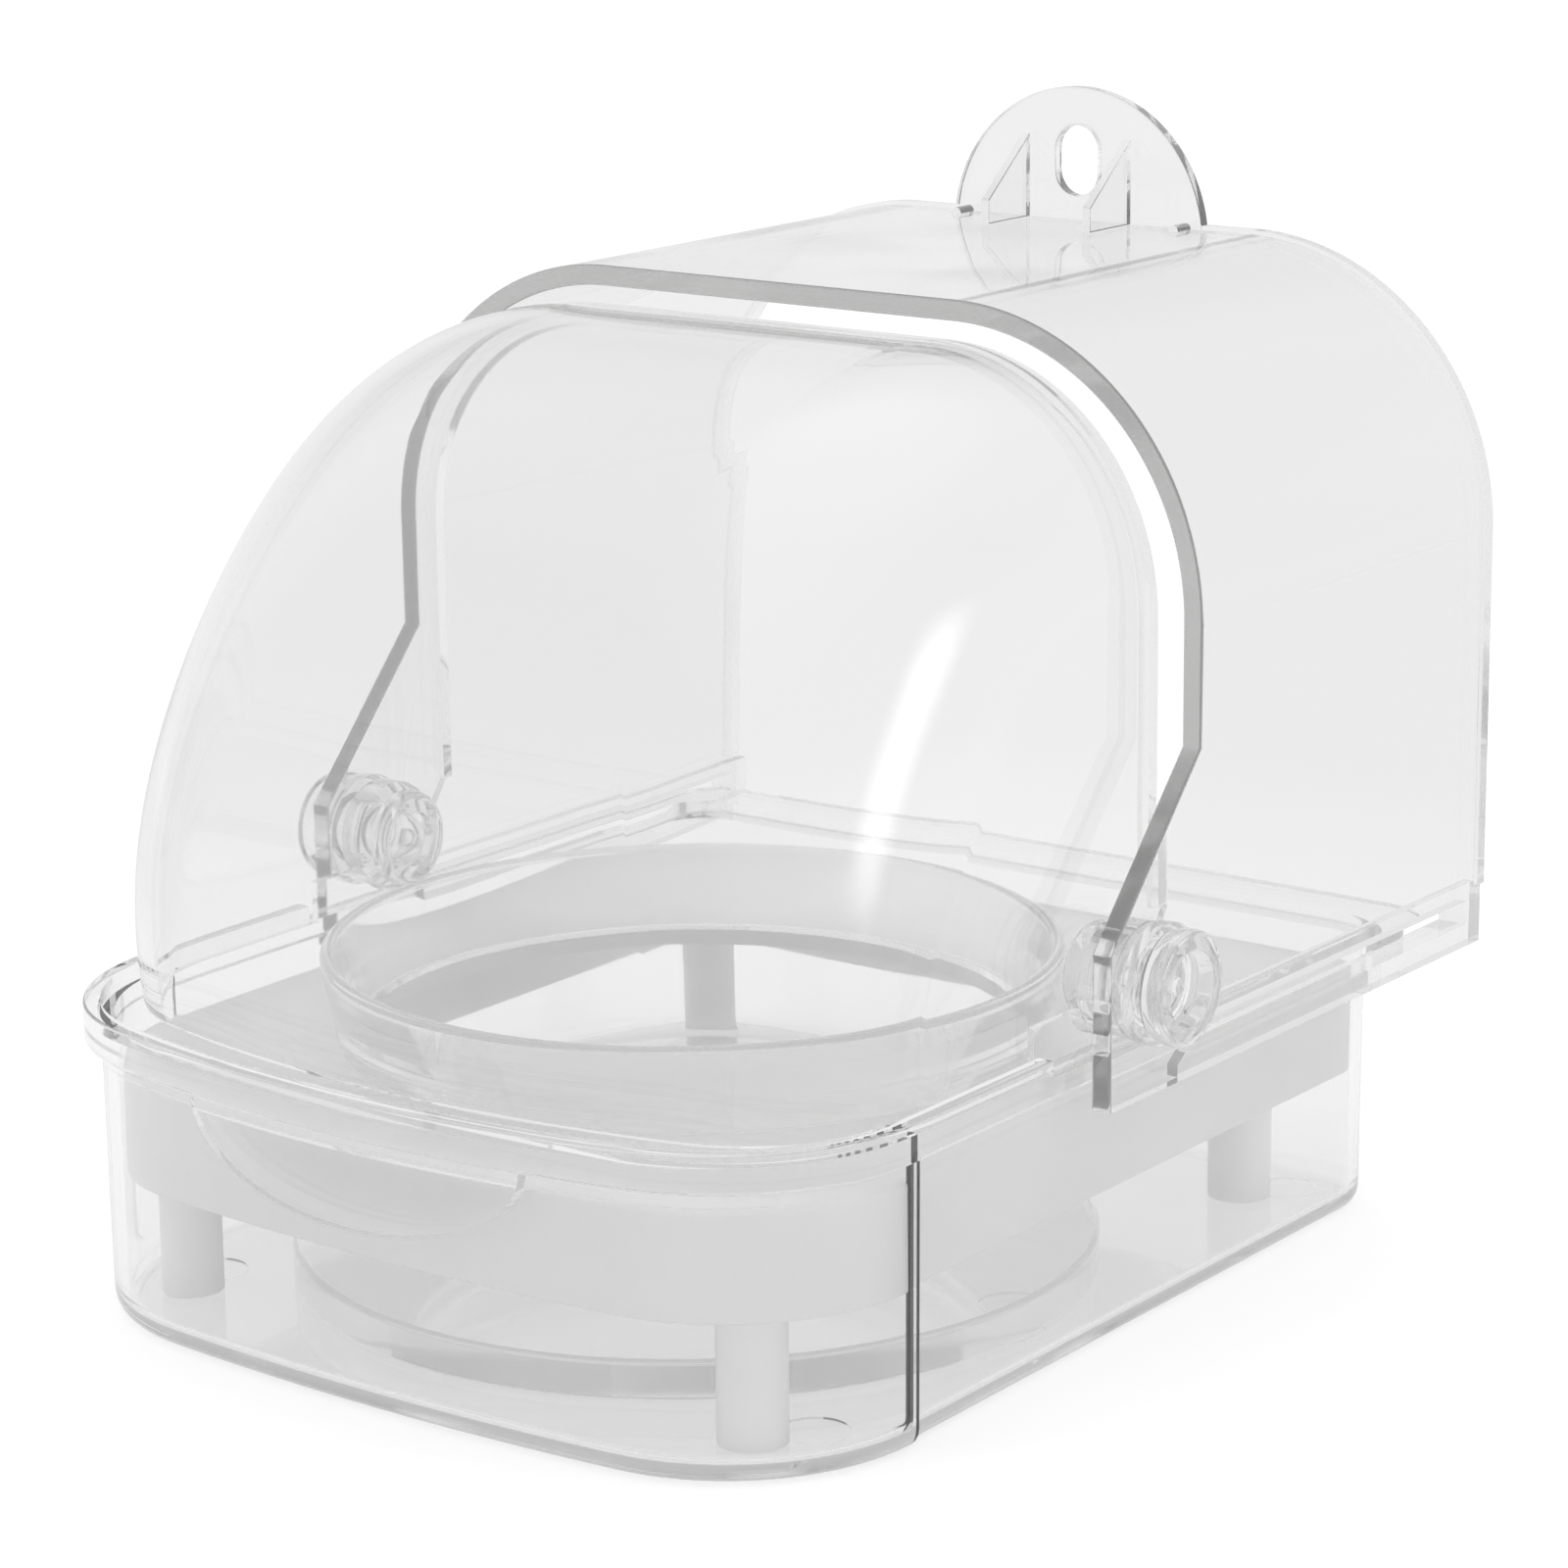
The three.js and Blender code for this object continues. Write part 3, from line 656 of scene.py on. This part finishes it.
def visor():
    step_z = FLANGE_TOP + VISOR_STEP
    lobe_start = 180 + math.degrees(math.asin((PIVOT_Z - step_z) / VISOR_LOBE))
    foot_z = PIVOT_Z + VISOR_REAR_FOOT
    side = [(-FAR, FAR), (-FAR, FLANGE_TOP), (RIM_END, FLANGE_TOP), (RIM_END, step_z)]
    side += arc(PIVOT_Y, PIVOT_Z, VISOR_LOBE, lobe_start, VISOR_LOBE_END, LOBE_STEPS)
    side += [(VISOR_REAR, foot_z), (VISOR_REAR, FAR)]
    shell = within(cut(drum(0), drum(VISOR_WALL)), prism_x(side, -FAR, FAR))
    band = cut(drum(VISOR_WALL / 2), drum(VISOR_WALL + BAND_THICK))
    within(band, box(-FAR, FAR, VISOR_REAR - BAND_WIDTH, VISOR_REAR, foot_z, FAR))
    boss = turn_x(rod(BOSS_R, VISOR_HALF - VISOR_WALL / 2, HOOD_INNER))
    soften(boss, FINE_EDGE_R, lambda p: p.x > VISOR_HALF)
    union(shell, band, both(boss))
    return cut(shell, bore())


def pin():
    face = HOOD_HALF + HEAD_PROUD
    step = HOOD_HALF + HEAD_STEP
    end = VISOR_HALF - VISOR_WALL - SLIP
    waist = HEAD_R - HEAD_GROOVE
    collar = HEAD_R - HEAD_GROOVE / 2
    floor = face - DISH_DEPTH
    e = FINE_EDGE_R
    return turn_x(
        [(0, end), (PIN_R, end), (PIN_R, HOOD_HALF)]
        + arc(HEAD_R - e, HOOD_HALF + e, e, -90, 0, FINE_STEPS)
        + arc(HEAD_R - e, step - e, e, 0, 90, FINE_STEPS)
        + [(waist, step + HEAD_GROOVE / 2), (waist, step + HEAD_GROOVE)]
        + [(collar, step + 2 * HEAD_GROOVE)]
        + arc(collar - HEAD_GROOVE, face - HEAD_GROOVE, HEAD_GROOVE, 0, 90, COLLAR_STEPS)
        + arc(DISH_R + e, face - e, e, 90, 180, FINE_STEPS)
        + arc(DISH_R - DISH_TURN, face - DISH_DEPTH / 2, DISH_DEPTH / 2, 0, -90, DISH_STEPS)
        + [(NUB_R, floor)]
        + arc(NUB_R / 2, floor + NUB_HEIGHT - NUB_R / 2, NUB_R / 2, 0, 90, NUB_STEPS)
        + [(0, floor + NUB_HEIGHT)]
    )


def cap():
    face = VISOR_HALF - VISOR_WALL - SLIP
    half = CAP_THICK / 2
    return turn_x(
        [(0, face), (CAP_R, face)]
        + arc(CAP_R - half, face - half, half, 0, -90, DISH_STEPS)
        + [(PIN_R, face - CAP_THICK), (PIN_R - CAP_DISH_SLOPE, face - half), (0, face - half)]
    )


def tray():
    rim_top = FLANGE_TOP + RIM_HEIGHT
    rim_thick = RIM_INSET - 2 * SLIP
    shell = pile(TRAY_PLAN, vessel_levels(0, FLANGE_TOP, 0, TRAY_FILLET, TRAY_DRAFT))
    inside = vessel_levels(TRAY_FLOOR, FLANGE_TOP, TRAY_WALL, TRAY_FILLET - TRAY_WALL / 2, TRAY_DRAFT)
    rim = slab(FLANGE_PLAN, 0, FLANGE_TOP - FLANGE_THICK / 2, rim_top, high=EDGE_R)
    cut(rim, slab(FLANGE_PLAN, rim_thick, 0, FAR))
    within(rim, box(-FAR, FAR, -FAR, RIM_END, FLANGE_Z, FAR))
    lip = slab(FLANGE_PLAN, LIP_INSET, FLANGE_Z - LIP_HEIGHT, FLANGE_TOP - EDGE_R, low=EDGE_R)
    within(lip, box(-FAR, FAR, -FAR, side_start(TRAY_PLAN), 0, FAR))
    unit = arc(0, 0, 1, 180, 360, GRIP_STEPS)
    moon = [(GRIP_HALF * u, FLANGE_Z + GRIP_DROP * v) for u, v in unit]
    crown = FLANGE_Z + FLANGE_THICK / 2
    grip = slab(FLANGE_PLAN, GRIP_INSET, 0, FLANGE_TOP - EDGE_R)
    cut(grip, slab(FLANGE_PLAN, GRIP_INSET + GRIP_THICK, -PAST, FAR))
    within(grip, prism_y([(-GRIP_HALF, crown)] + moon + [(GRIP_HALF, crown)], -FAR, 0))
    flange = slab(FLANGE_PLAN, 0, FLANGE_Z, FLANGE_TOP, low=EDGE_R, high=EDGE_R)
    union(shell, flange, rim, lip, grip)
    cut(shell, pile(TRAY_PLAN, inside + [(FAR, TRAY_WALL)]))
    for y in MARK_YS:
        cut(shell, both(turn_z(rod(MARK_R, -PAST, MARK_DEPTH), MARK_X, y, MARK_FACETS)))
    return shell


def shelf():
    outer = TRAY_WALL + TRAY_DRAFT + INSERT_GAP
    under = SHELF_TOP - SHELF_THICK
    plate = slab(TRAY_PLAN, outer, SKIRT_BOTTOM, SHELF_TOP, low=EDGE_R, high=2 * EDGE_R)
    cut(plate, slab(TRAY_PLAN, outer + SKIRT_WALL, 0, under))
    for y in POST_YS:
        post = rod(POST_R, TRAY_FLOOR, under + SHELF_THICK / 2)
        union(plate, both(turn_z(post, POST_X, y, POST_FACETS)))
    return cut(plate, turn_z(rod(BOWL_NECK_R + SLIP, 0, FAR), 0, BOWL_Y))


def bowl():
    lean = math.degrees(BOWL_LEAN)
    turn_z0 = BOWL_BASE_Z + BOWL_TURN
    lip = BOWL_WALL / 2
    return turn_z(
        [(0, BOWL_BASE_Z)]
        + arc(BOWL_BASE_R, turn_z0, BOWL_TURN, -90, -lean, TURN_STEPS)
        + [(BOWL_NECK_R, SHELF_TOP)]
        + arc(BOWL_NECK_R + BOWL_SHOULDER - EDGE_R, SHELF_TOP + EDGE_R, EDGE_R, -90, 0, EDGE_STEPS)
        + arc(BOWL_RIM_R - lip, BOWL_RIM_Z - lip, lip, 0, 180, TURN_STEPS)
        + [(BOWL_NECK_R - BOWL_WALL, SHELF_TOP)]
        + arc(BOWL_BASE_R, turn_z0, BOWL_TURN - BOWL_WALL, -lean, -90, TURN_STEPS)
        + [(0, BOWL_BASE_Z + BOWL_WALL)],
        0,
        BOWL_Y,
    )


def base_plate():
    top = TRAY_FLOOR + PLATE_THICK
    return turn_z(
        [(0, TRAY_FLOOR), (PLATE_R - EDGE_R, TRAY_FLOOR)]
        + arc(PLATE_R - EDGE_R, TRAY_FLOOR + EDGE_R, EDGE_R, -90, 0, EDGE_STEPS)[1:]
        + arc(PLATE_R - PLATE_EDGE, top - PLATE_EDGE, PLATE_EDGE, 0, 90, COLLAR_STEPS)
        + [(0, top)],
        0,
        BOWL_Y,
    )


# Materials

PLASTIC_IOR = 1.5
DEPTH_COLOUR = (0.82, 0.82, 0.818, 1)
POLISH = 0.012
LIGHT_THROUGH_CLEAR = 0.985
LIGHT_THROUGH_FROST = 0.8
FROST_IOR = 1.49
FROST_CLEARNESS = 0.1
# Painted glow: the frosted plastic gives off a faint light of its own, in place of light passing through
# it
FROST_PAINTED_GLOW = 0.045
FROST_GREYS = ((0.35, 0.955), (0.65, 0.985))
FROST_GRAIN = 0.04 * MM
FINE_WAVE_SHARE = 0.003
# Painted shade: near-black colour of the opaque skin on the tray's crease
CREASE_SHADE_COLOUR = (0.03, 0.03, 0.03, 1)
CREASE_ROUGHNESS = (0.3, 0.5)
FROST_ROUGHNESS = (0.48, 0.62)
WHITE = (1, 1, 1, 1)

# Reflections after which light counts as caught in a clear wall
CAUGHT_DEPTH = 14

# Noise, as scale per metre, detail and distortion
HAZE_NOISE = (55, 4, 0.6)
SLOW_WAVE_NOISE = (26, 1)
FINE_WAVE_NOISE = (420, 2)
CREASE_NOISE = (300, 3)
FROST_CLOUD_NOISE = (30, 3)
FROST_SHEEN_NOISE = (160, 5)
FROST_GRAIN_NOISE = (2600, 3)
NOISE_RANGE = (0.3, 0.7)


def socket(node, name, value):
    node.inputs[name].default_value = value


def noise(tree, scale, detail, distortion=0.0):
    coords = tree.nodes.new("ShaderNodeTexCoord")
    texture = tree.nodes.new("ShaderNodeTexNoise")
    socket(texture, "Scale", scale)
    socket(texture, "Detail", detail)
    socket(texture, "Distortion", distortion)
    tree.links.new(coords.outputs["Object"], texture.inputs["Vector"])
    return texture.outputs["Fac"]


def spread(tree, value, low, high):
    ranged = tree.nodes.new("ShaderNodeMapRange")
    socket(ranged, "From Min", NOISE_RANGE[0])
    socket(ranged, "From Max", NOISE_RANGE[1])
    socket(ranged, "To Min", low)
    socket(ranged, "To Max", high)
    tree.links.new(value, ranged.inputs["Value"])
    return ranged.outputs["Result"]


def grey_ramp(tree, value, stops):
    ramp = tree.nodes.new("ShaderNodeValToRGB")
    elements = ramp.color_ramp.elements
    while len(elements) < len(stops):
        elements.new(0.5)
    for element, (place, level) in zip(elements, stops):
        element.position = place
        element.color = (level, level, level, 1)
    tree.links.new(value, ramp.inputs["Fac"])
    return ramp.outputs["Color"]


def bumped(tree, height, distance, under=None):
    bump = tree.nodes.new("ShaderNodeBump")
    socket(bump, "Strength", 1.0)
    socket(bump, "Distance", distance)
    tree.links.new(height, bump.inputs["Height"])
    if under is not None:
        tree.links.new(under, bump.inputs["Normal"])
    return bump.outputs["Normal"]


def new_material(name):
    material = bpy.data.materials.new(name)
    material.use_nodes = True
    tree = material.node_tree
    tree.nodes.clear()
    output = tree.nodes.new("ShaderNodeOutputMaterial")
    return material, tree, output


def let_light_through(tree, skin, output, share):
    """The surface of a see-through piece: lamps shine through it, so its shadow stays pale."""
    passing = tree.nodes.new("ShaderNodeBsdfTransparent")
    socket(passing, "Color", (share, share, share, 1))
    path = tree.nodes.new("ShaderNodeLightPath")
    mix = tree.nodes.new("ShaderNodeMixShader")
    tree.links.new(path.outputs["Is Shadow Ray"], mix.inputs["Fac"])
    tree.links.new(skin, mix.inputs[1])
    tree.links.new(passing.outputs["BSDF"], mix.inputs[2])
    tree.links.new(mix.outputs["Shader"], output.inputs["Surface"])


def caught_light(tree, skin, level):
    """Light still caught in the wall after many reflections is an even glow, so no edge goes black."""
    path = tree.nodes.new("ShaderNodeLightPath")
    deep = tree.nodes.new("ShaderNodeMath")
    deep.operation = "GREATER_THAN"
    tree.links.new(path.outputs["Ray Depth"], deep.inputs[0])
    deep.inputs[1].default_value = CAUGHT_DEPTH
    glow = tree.nodes.new("ShaderNodeEmission")
    socket(glow, "Strength", level)
    mix = tree.nodes.new("ShaderNodeMixShader")
    tree.links.new(deep.outputs["Value"], mix.inputs["Fac"])
    tree.links.new(skin.outputs["BSDF"], mix.inputs[1])
    tree.links.new(glow.outputs["Emission"], mix.inputs[2])
    return mix.outputs["Shader"]


def clear_plastic(name, clarity, density, haze, wave, caught):
    """Clear moulded plastic: a little grey in its depth, slow waves in its skin, patches of faint haze.

    clarity is the skin's tint, density the depth's, wave the waves' height in metres, and caught the
    level of light that stays in the wall.
    """
    material, tree, output = new_material(name)
    skin = tree.nodes.new("ShaderNodeBsdfPrincipled")
    socket(skin, "Base Color", (clarity, clarity, clarity, 1))
    socket(skin, "IOR", PLASTIC_IOR)
    socket(skin, "Transmission Weight", 1.0)
    sheen = spread(tree, noise(tree, *HAZE_NOISE), POLISH, haze)
    tree.links.new(sheen, skin.inputs["Roughness"])
    slow = bumped(tree, noise(tree, *SLOW_WAVE_NOISE), wave)
    fine = bumped(tree, noise(tree, *FINE_WAVE_NOISE), wave * FINE_WAVE_SHARE, slow)
    tree.links.new(fine, skin.inputs["Normal"])
    let_light_through(tree, caught_light(tree, skin, caught), output, LIGHT_THROUGH_CLEAR)
    depth = tree.nodes.new("ShaderNodeVolumeAbsorption")
    socket(depth, "Color", DEPTH_COLOUR)
    socket(depth, "Density", density)
    tree.links.new(depth.outputs["Volume"], output.inputs["Volume"])
    return material


def painted_shade_skin(name):
    """Painted shade on the crease in the clear plastic: a near-black opaque skin that throws no light
    back to the eye.
    """
    material, tree, output = new_material(name)
    skin = tree.nodes.new("ShaderNodeBsdfPrincipled")
    socket(skin, "Base Color", CREASE_SHADE_COLOUR)
    sheen = spread(tree, noise(tree, *CREASE_NOISE), *CREASE_ROUGHNESS)
    tree.links.new(sheen, skin.inputs["Roughness"])
    tree.links.new(skin.outputs["BSDF"], output.inputs["Surface"])
    return material


def frosted_plastic(name):
    """Milky plastic with a fine spark-eroded grain and a faint painted glow."""
    material, tree, output = new_material(name)
    skin = tree.nodes.new("ShaderNodeBsdfPrincipled")
    cloud = grey_ramp(tree, noise(tree, *FROST_CLOUD_NOISE), FROST_GREYS)
    tree.links.new(cloud, skin.inputs["Base Color"])
    socket(skin, "IOR", FROST_IOR)
    socket(skin, "Transmission Weight", FROST_CLEARNESS)
    # Painted glow: a faint white emission brightens the frosted plastic
    socket(skin, "Emission Color", WHITE)
    socket(skin, "Emission Strength", FROST_PAINTED_GLOW)
    sheen = spread(tree, noise(tree, *FROST_SHEEN_NOISE), *FROST_ROUGHNESS)
    tree.links.new(sheen, skin.inputs["Roughness"])
    grain = bumped(tree, noise(tree, *FROST_GRAIN_NOISE), FROST_GRAIN)
    tree.links.new(grain, skin.inputs["Normal"])
    let_light_through(tree, skin.outputs["BSDF"], output, LIGHT_THROUGH_FROST)
    return material


HOOD = clear_plastic(
    "clear_hood_skin", clarity=0.955, density=36, haze=0.05, wave=0.10 * MM, caught=0.5
)
DOME = clear_plastic(
    "clear_dome_skin", clarity=0.975, density=30, haze=0.035, wave=0.12 * MM, caught=0.6
)
TRAY = clear_plastic(
    "clear_tray_skin", clarity=0.985, density=8, haze=0.04, wave=0.08 * MM, caught=0.62
)
PIVOT = clear_plastic(
    "pivot_plastic_skin", clarity=0.965, density=30, haze=0.06, wave=0.05 * MM, caught=0.4
)
# Painted shade: an opaque near-black skin for the tray's crease
CREASE = painted_shade_skin("crease_painted_shade")
FROST = frosted_plastic("frosted_plastic_skin")

dressed(hood(), "hood_shell", "hood", "hood", HOOD)
dressed(visor(), "visor_dome", "visor", "visor", DOME)
tray_shell = dressed(tray(), "tray_shell", "tray", "tray", TRAY)
# Painted shade: the crease's step faces get the opaque near-black skin
line_edge(tray_shell, CREASE, (side_start(TRAY_PLAN) + HOOD_FRONT) * MM)
dressed(shelf(), "shelf", "shelf_insert", "tray", FROST)
dressed(bowl(), "seed_bowl", "bowl", "bowl", TRAY)
dressed(base_plate(), "base_plate", "floor_plate", "tray", TRAY)
right_pin, right_cap = pin(), cap()
left_pin, left_cap = mirrored(right_pin), mirrored(right_cap)
dressed(right_pin, "pivot_hub_right", "pivot_pin_right", "hood", PIVOT)
dressed(left_pin, "pivot_hub_left", "pivot_pin_left", "hood", PIVOT)
dressed(right_cap, "pivot_washer_right", "pivot_cap_right", "hood", PIVOT)
dressed(left_cap, "pivot_washer_left", "pivot_cap_left", "hood", PIVOT)


# Studio

FLOOR_HALF = 4.0
FLOOR_Z = -0.1 * MM
FLOOR_COLOUR = (0.55, 0.55, 0.55)
FLOOR_GLOW_REACH = 1.2
# Painted pool of light: for all but camera rays the floor glows brighter near the feeder, dimmer in a
# ring around it and brighter far out
FLOOR_PAINTED_POOL_STOPS = ((0.0, 0.46), (0.12, 0.46), (0.25, 0.38), (0.42, 0.38), (0.75, 0.44), (1.0, 0.44))
FLOOR_GLOW_SEEN = 0.58
WORLD_STOPS = ((0.0, 0.88), (0.5, 0.90), (0.60, 0.88), (0.72, 0.74), (0.86, 0.74), (0.97, 1.0))

# Narrow strip light at the feeder's right, given by its lower and upper end
STRIP_LOW = Vector((0.8, -0.06, 0.06))
STRIP_HIGH = Vector((0.8, 0.21, 0.54))
STRIP_HALF = 0.17
STRIP_LEVEL = 6.5

# Share of the strip's half width and half length that has full light
STRIP_CORES = (("X", 0.0), ("Y", 0.35))

LAMP_AIM = Vector((0, 0, 0.05))
KEY_PLACE = Vector((-0.7, -0.8, 1.3))
KEY_SIZE = 0.9
KEY_WATTS = 3
FILL_PLACE = Vector((1.1, 0.2, 1.0))
FILL_SIZE = 0.8
FILL_WATTS = 1.5

CLIP_NEAR = 0.01
CLIP_FAR = 50

# Light that is caught inside a clear wall leaves it only after many reflections.
MAX_BOUNCES = 32
GLOSSY_BOUNCES = 20
TRANSMISSION_BOUNCES = 24


def studio_world():
    """White to the eye. To reflections and light, a white cove with a greyer ceiling and a bright top."""
    world = bpy.data.worlds.new("studio")
    world.use_nodes = True
    tree = world.node_tree
    tree.nodes.clear()
    output = tree.nodes.new("ShaderNodeOutputWorld")
    coords = tree.nodes.new("ShaderNodeTexCoord")
    split = tree.nodes.new("ShaderNodeSeparateXYZ")
    tree.links.new(coords.outputs["Generated"], split.inputs["Vector"])
    height = tree.nodes.new("ShaderNodeMapRange")
    socket(height, "From Min", -1.0)
    socket(height, "From Max", 1.0)
    tree.links.new(split.outputs["Z"], height.inputs["Value"])
    ramp = grey_ramp(tree, height.outputs["Result"], WORLD_STOPS)
    around = tree.nodes.new("ShaderNodeBackground")
    tree.links.new(ramp, around.inputs["Color"])
    socket(around, "Strength", 1.0)
    seen = tree.nodes.new("ShaderNodeBackground")
    socket(seen, "Color", WHITE)
    socket(seen, "Strength", 1.0)
    path = tree.nodes.new("ShaderNodeLightPath")
    mix = tree.nodes.new("ShaderNodeMixShader")
    tree.links.new(path.outputs["Is Camera Ray"], mix.inputs["Fac"])
    tree.links.new(around.outputs["Background"], mix.inputs[1])
    tree.links.new(seen.outputs["Background"], mix.inputs[2])
    tree.links.new(mix.outputs["Shader"], output.inputs["Surface"])
    bpy.context.scene.world = world


def studio_floor():
    """Pale sweep that keeps the feeder's shadow and reads as white paper in the picture. To all but
    camera rays its glow is a painted pool of light near the feeder with a dimmer ring around it.
    """
    mesh = bpy.data.meshes.new("floor")
    corners = [(-1, -1), (1, -1), (1, 1), (-1, 1)]
    mesh.from_pydata([(FLOOR_HALF * x, FLOOR_HALF * y, FLOOR_Z) for x, y in corners], [], [(0, 1, 2, 3)])
    floor = link(bpy.data.objects.new("floor", mesh))
    material, tree, output = new_material("white_sweep")
    paper = tree.nodes.new("ShaderNodeBsdfDiffuse")
    socket(paper, "Color", (*FLOOR_COLOUR, 1))
    coords = tree.nodes.new("ShaderNodeTexCoord")
    away = tree.nodes.new("ShaderNodeVectorMath")
    away.operation = "LENGTH"
    tree.links.new(coords.outputs["Object"], away.inputs[0])
    share = tree.nodes.new("ShaderNodeMapRange")
    socket(share, "From Max", FLOOR_GLOW_REACH)
    tree.links.new(away.outputs["Value"], share.inputs["Value"])
    # Painted pool of light: glow level by distance from the feeder, for all but camera rays
    through = grey_ramp(tree, share.outputs["Result"], FLOOR_PAINTED_POOL_STOPS)
    path = tree.nodes.new("ShaderNodeLightPath")
    level = tree.nodes.new("ShaderNodeMapRange")
    tree.links.new(through, level.inputs["To Min"])
    socket(level, "To Max", FLOOR_GLOW_SEEN)
    tree.links.new(path.outputs["Is Camera Ray"], level.inputs["Value"])
    glow = tree.nodes.new("ShaderNodeEmission")
    tree.links.new(level.outputs["Result"], glow.inputs["Strength"])
    add = tree.nodes.new("ShaderNodeAddShader")
    tree.links.new(paper.outputs["BSDF"], add.inputs[0])
    tree.links.new(glow.outputs["Emission"], add.inputs[1])
    tree.links.new(add.outputs["Shader"], output.inputs["Surface"])
    mesh.materials.append(material)


def softbox(name, place, size, power):
    """Square lamp that is aimed at the feeder and is not seen in its clear pieces."""
    light = bpy.data.lights.new(name, "AREA")
    light.shape = "SQUARE"
    light.size = size
    light.energy = power
    lamp = link(bpy.data.objects.new(name, light))
    lamp.location = place
    lamp.rotation_mode = "QUATERNION"
    lamp.rotation_quaternion = (LAMP_AIM - place).to_track_quat("-Z", "Y")
    lamp.visible_glossy = False
    lamp.visible_transmission = False


def strip_light():
    """Soft-edged strip that only shows as a reflection in the clear pieces."""
    along = STRIP_HIGH - STRIP_LOW
    across = Vector((0, along.z, -along.y)).normalized() * STRIP_HALF
    mesh = bpy.data.meshes.new("strip_light")
    ends = [STRIP_LOW - across, STRIP_LOW + across, STRIP_HIGH + across, STRIP_HIGH - across]
    mesh.from_pydata(ends, [], [(0, 1, 2, 3)])
    mesh.uv_layers.new(name="place")
    for corner, place in zip(mesh.uv_layers["place"].data, ((-1, -1), (1, -1), (1, 1), (-1, 1))):
        corner.uv = place
    strip = link(bpy.data.objects.new("strip_light", mesh))
    material, tree, output = new_material("strip_glow")
    coords = tree.nodes.new("ShaderNodeTexCoord")
    split = tree.nodes.new("ShaderNodeSeparateXYZ")
    tree.links.new(coords.outputs["UV"], split.inputs["Vector"])
    shares = []
    for axis, core in STRIP_CORES:
        size = tree.nodes.new("ShaderNodeMath")
        size.operation = "ABSOLUTE"
        tree.links.new(split.outputs[axis], size.inputs[0])
        fall = tree.nodes.new("ShaderNodeMapRange")
        fall.interpolation_type = "SMOOTHSTEP"
        socket(fall, "From Min", core)
        socket(fall, "To Min", 1.0)
        socket(fall, "To Max", 0.0)
        tree.links.new(size.outputs["Value"], fall.inputs["Value"])
        shares.append(fall.outputs["Result"])
    share = tree.nodes.new("ShaderNodeMath")
    share.operation = "MULTIPLY"
    tree.links.new(shares[0], share.inputs[0])
    tree.links.new(shares[1], share.inputs[1])
    glow = tree.nodes.new("ShaderNodeEmission")
    socket(glow, "Strength", STRIP_LEVEL)
    clear = tree.nodes.new("ShaderNodeBsdfTransparent")
    mix = tree.nodes.new("ShaderNodeMixShader")
    tree.links.new(share.outputs["Value"], mix.inputs["Fac"])
    tree.links.new(clear.outputs["BSDF"], mix.inputs[1])
    tree.links.new(glow.outputs["Emission"], mix.inputs[2])
    tree.links.new(mix.outputs["Shader"], output.inputs["Surface"])
    mesh.materials.append(material)
    strip.visible_camera = False
    strip.visible_diffuse = False
    strip.visible_transmission = False
    strip.visible_shadow = False


def camera():
    azimuth, elevation = math.radians(CAMERA_AZIMUTH), math.radians(CAMERA_ELEVATION)
    back = Vector((
        math.sin(azimuth) * math.cos(elevation),
        -math.cos(azimuth) * math.cos(elevation),
        math.sin(elevation),
    ))
    data = bpy.data.cameras.new("camera")
    data.sensor_width = SENSOR_MM
    data.lens = FOCAL_PX / IMAGE_PX * SENSOR_MM
    data.clip_start = CLIP_NEAR
    data.clip_end = CLIP_FAR
    viewer = link(bpy.data.objects.new("camera", data))
    level = back.to_track_quat("Z", "Y").to_matrix()
    rolled = level @ Matrix.Rotation(math.radians(CAMERA_ROLL), 3, "Z")
    place = CAMERA_TARGET + back * CAMERA_DISTANCE
    viewer.matrix_world = Matrix.Translation(place) @ rolled.to_4x4()
    bpy.context.scene.camera = viewer


studio_world()
studio_floor()
softbox("key", KEY_PLACE, KEY_SIZE, KEY_WATTS)
softbox("fill", FILL_PLACE, FILL_SIZE, FILL_WATTS)
strip_light()
camera()
bpy.context.scene.view_settings.view_transform = "Standard"
paths = bpy.context.scene.cycles
paths.max_bounces = MAX_BOUNCES
paths.glossy_bounces = GLOSSY_BOUNCES
paths.transmission_bounces = TRANSMISSION_BOUNCES
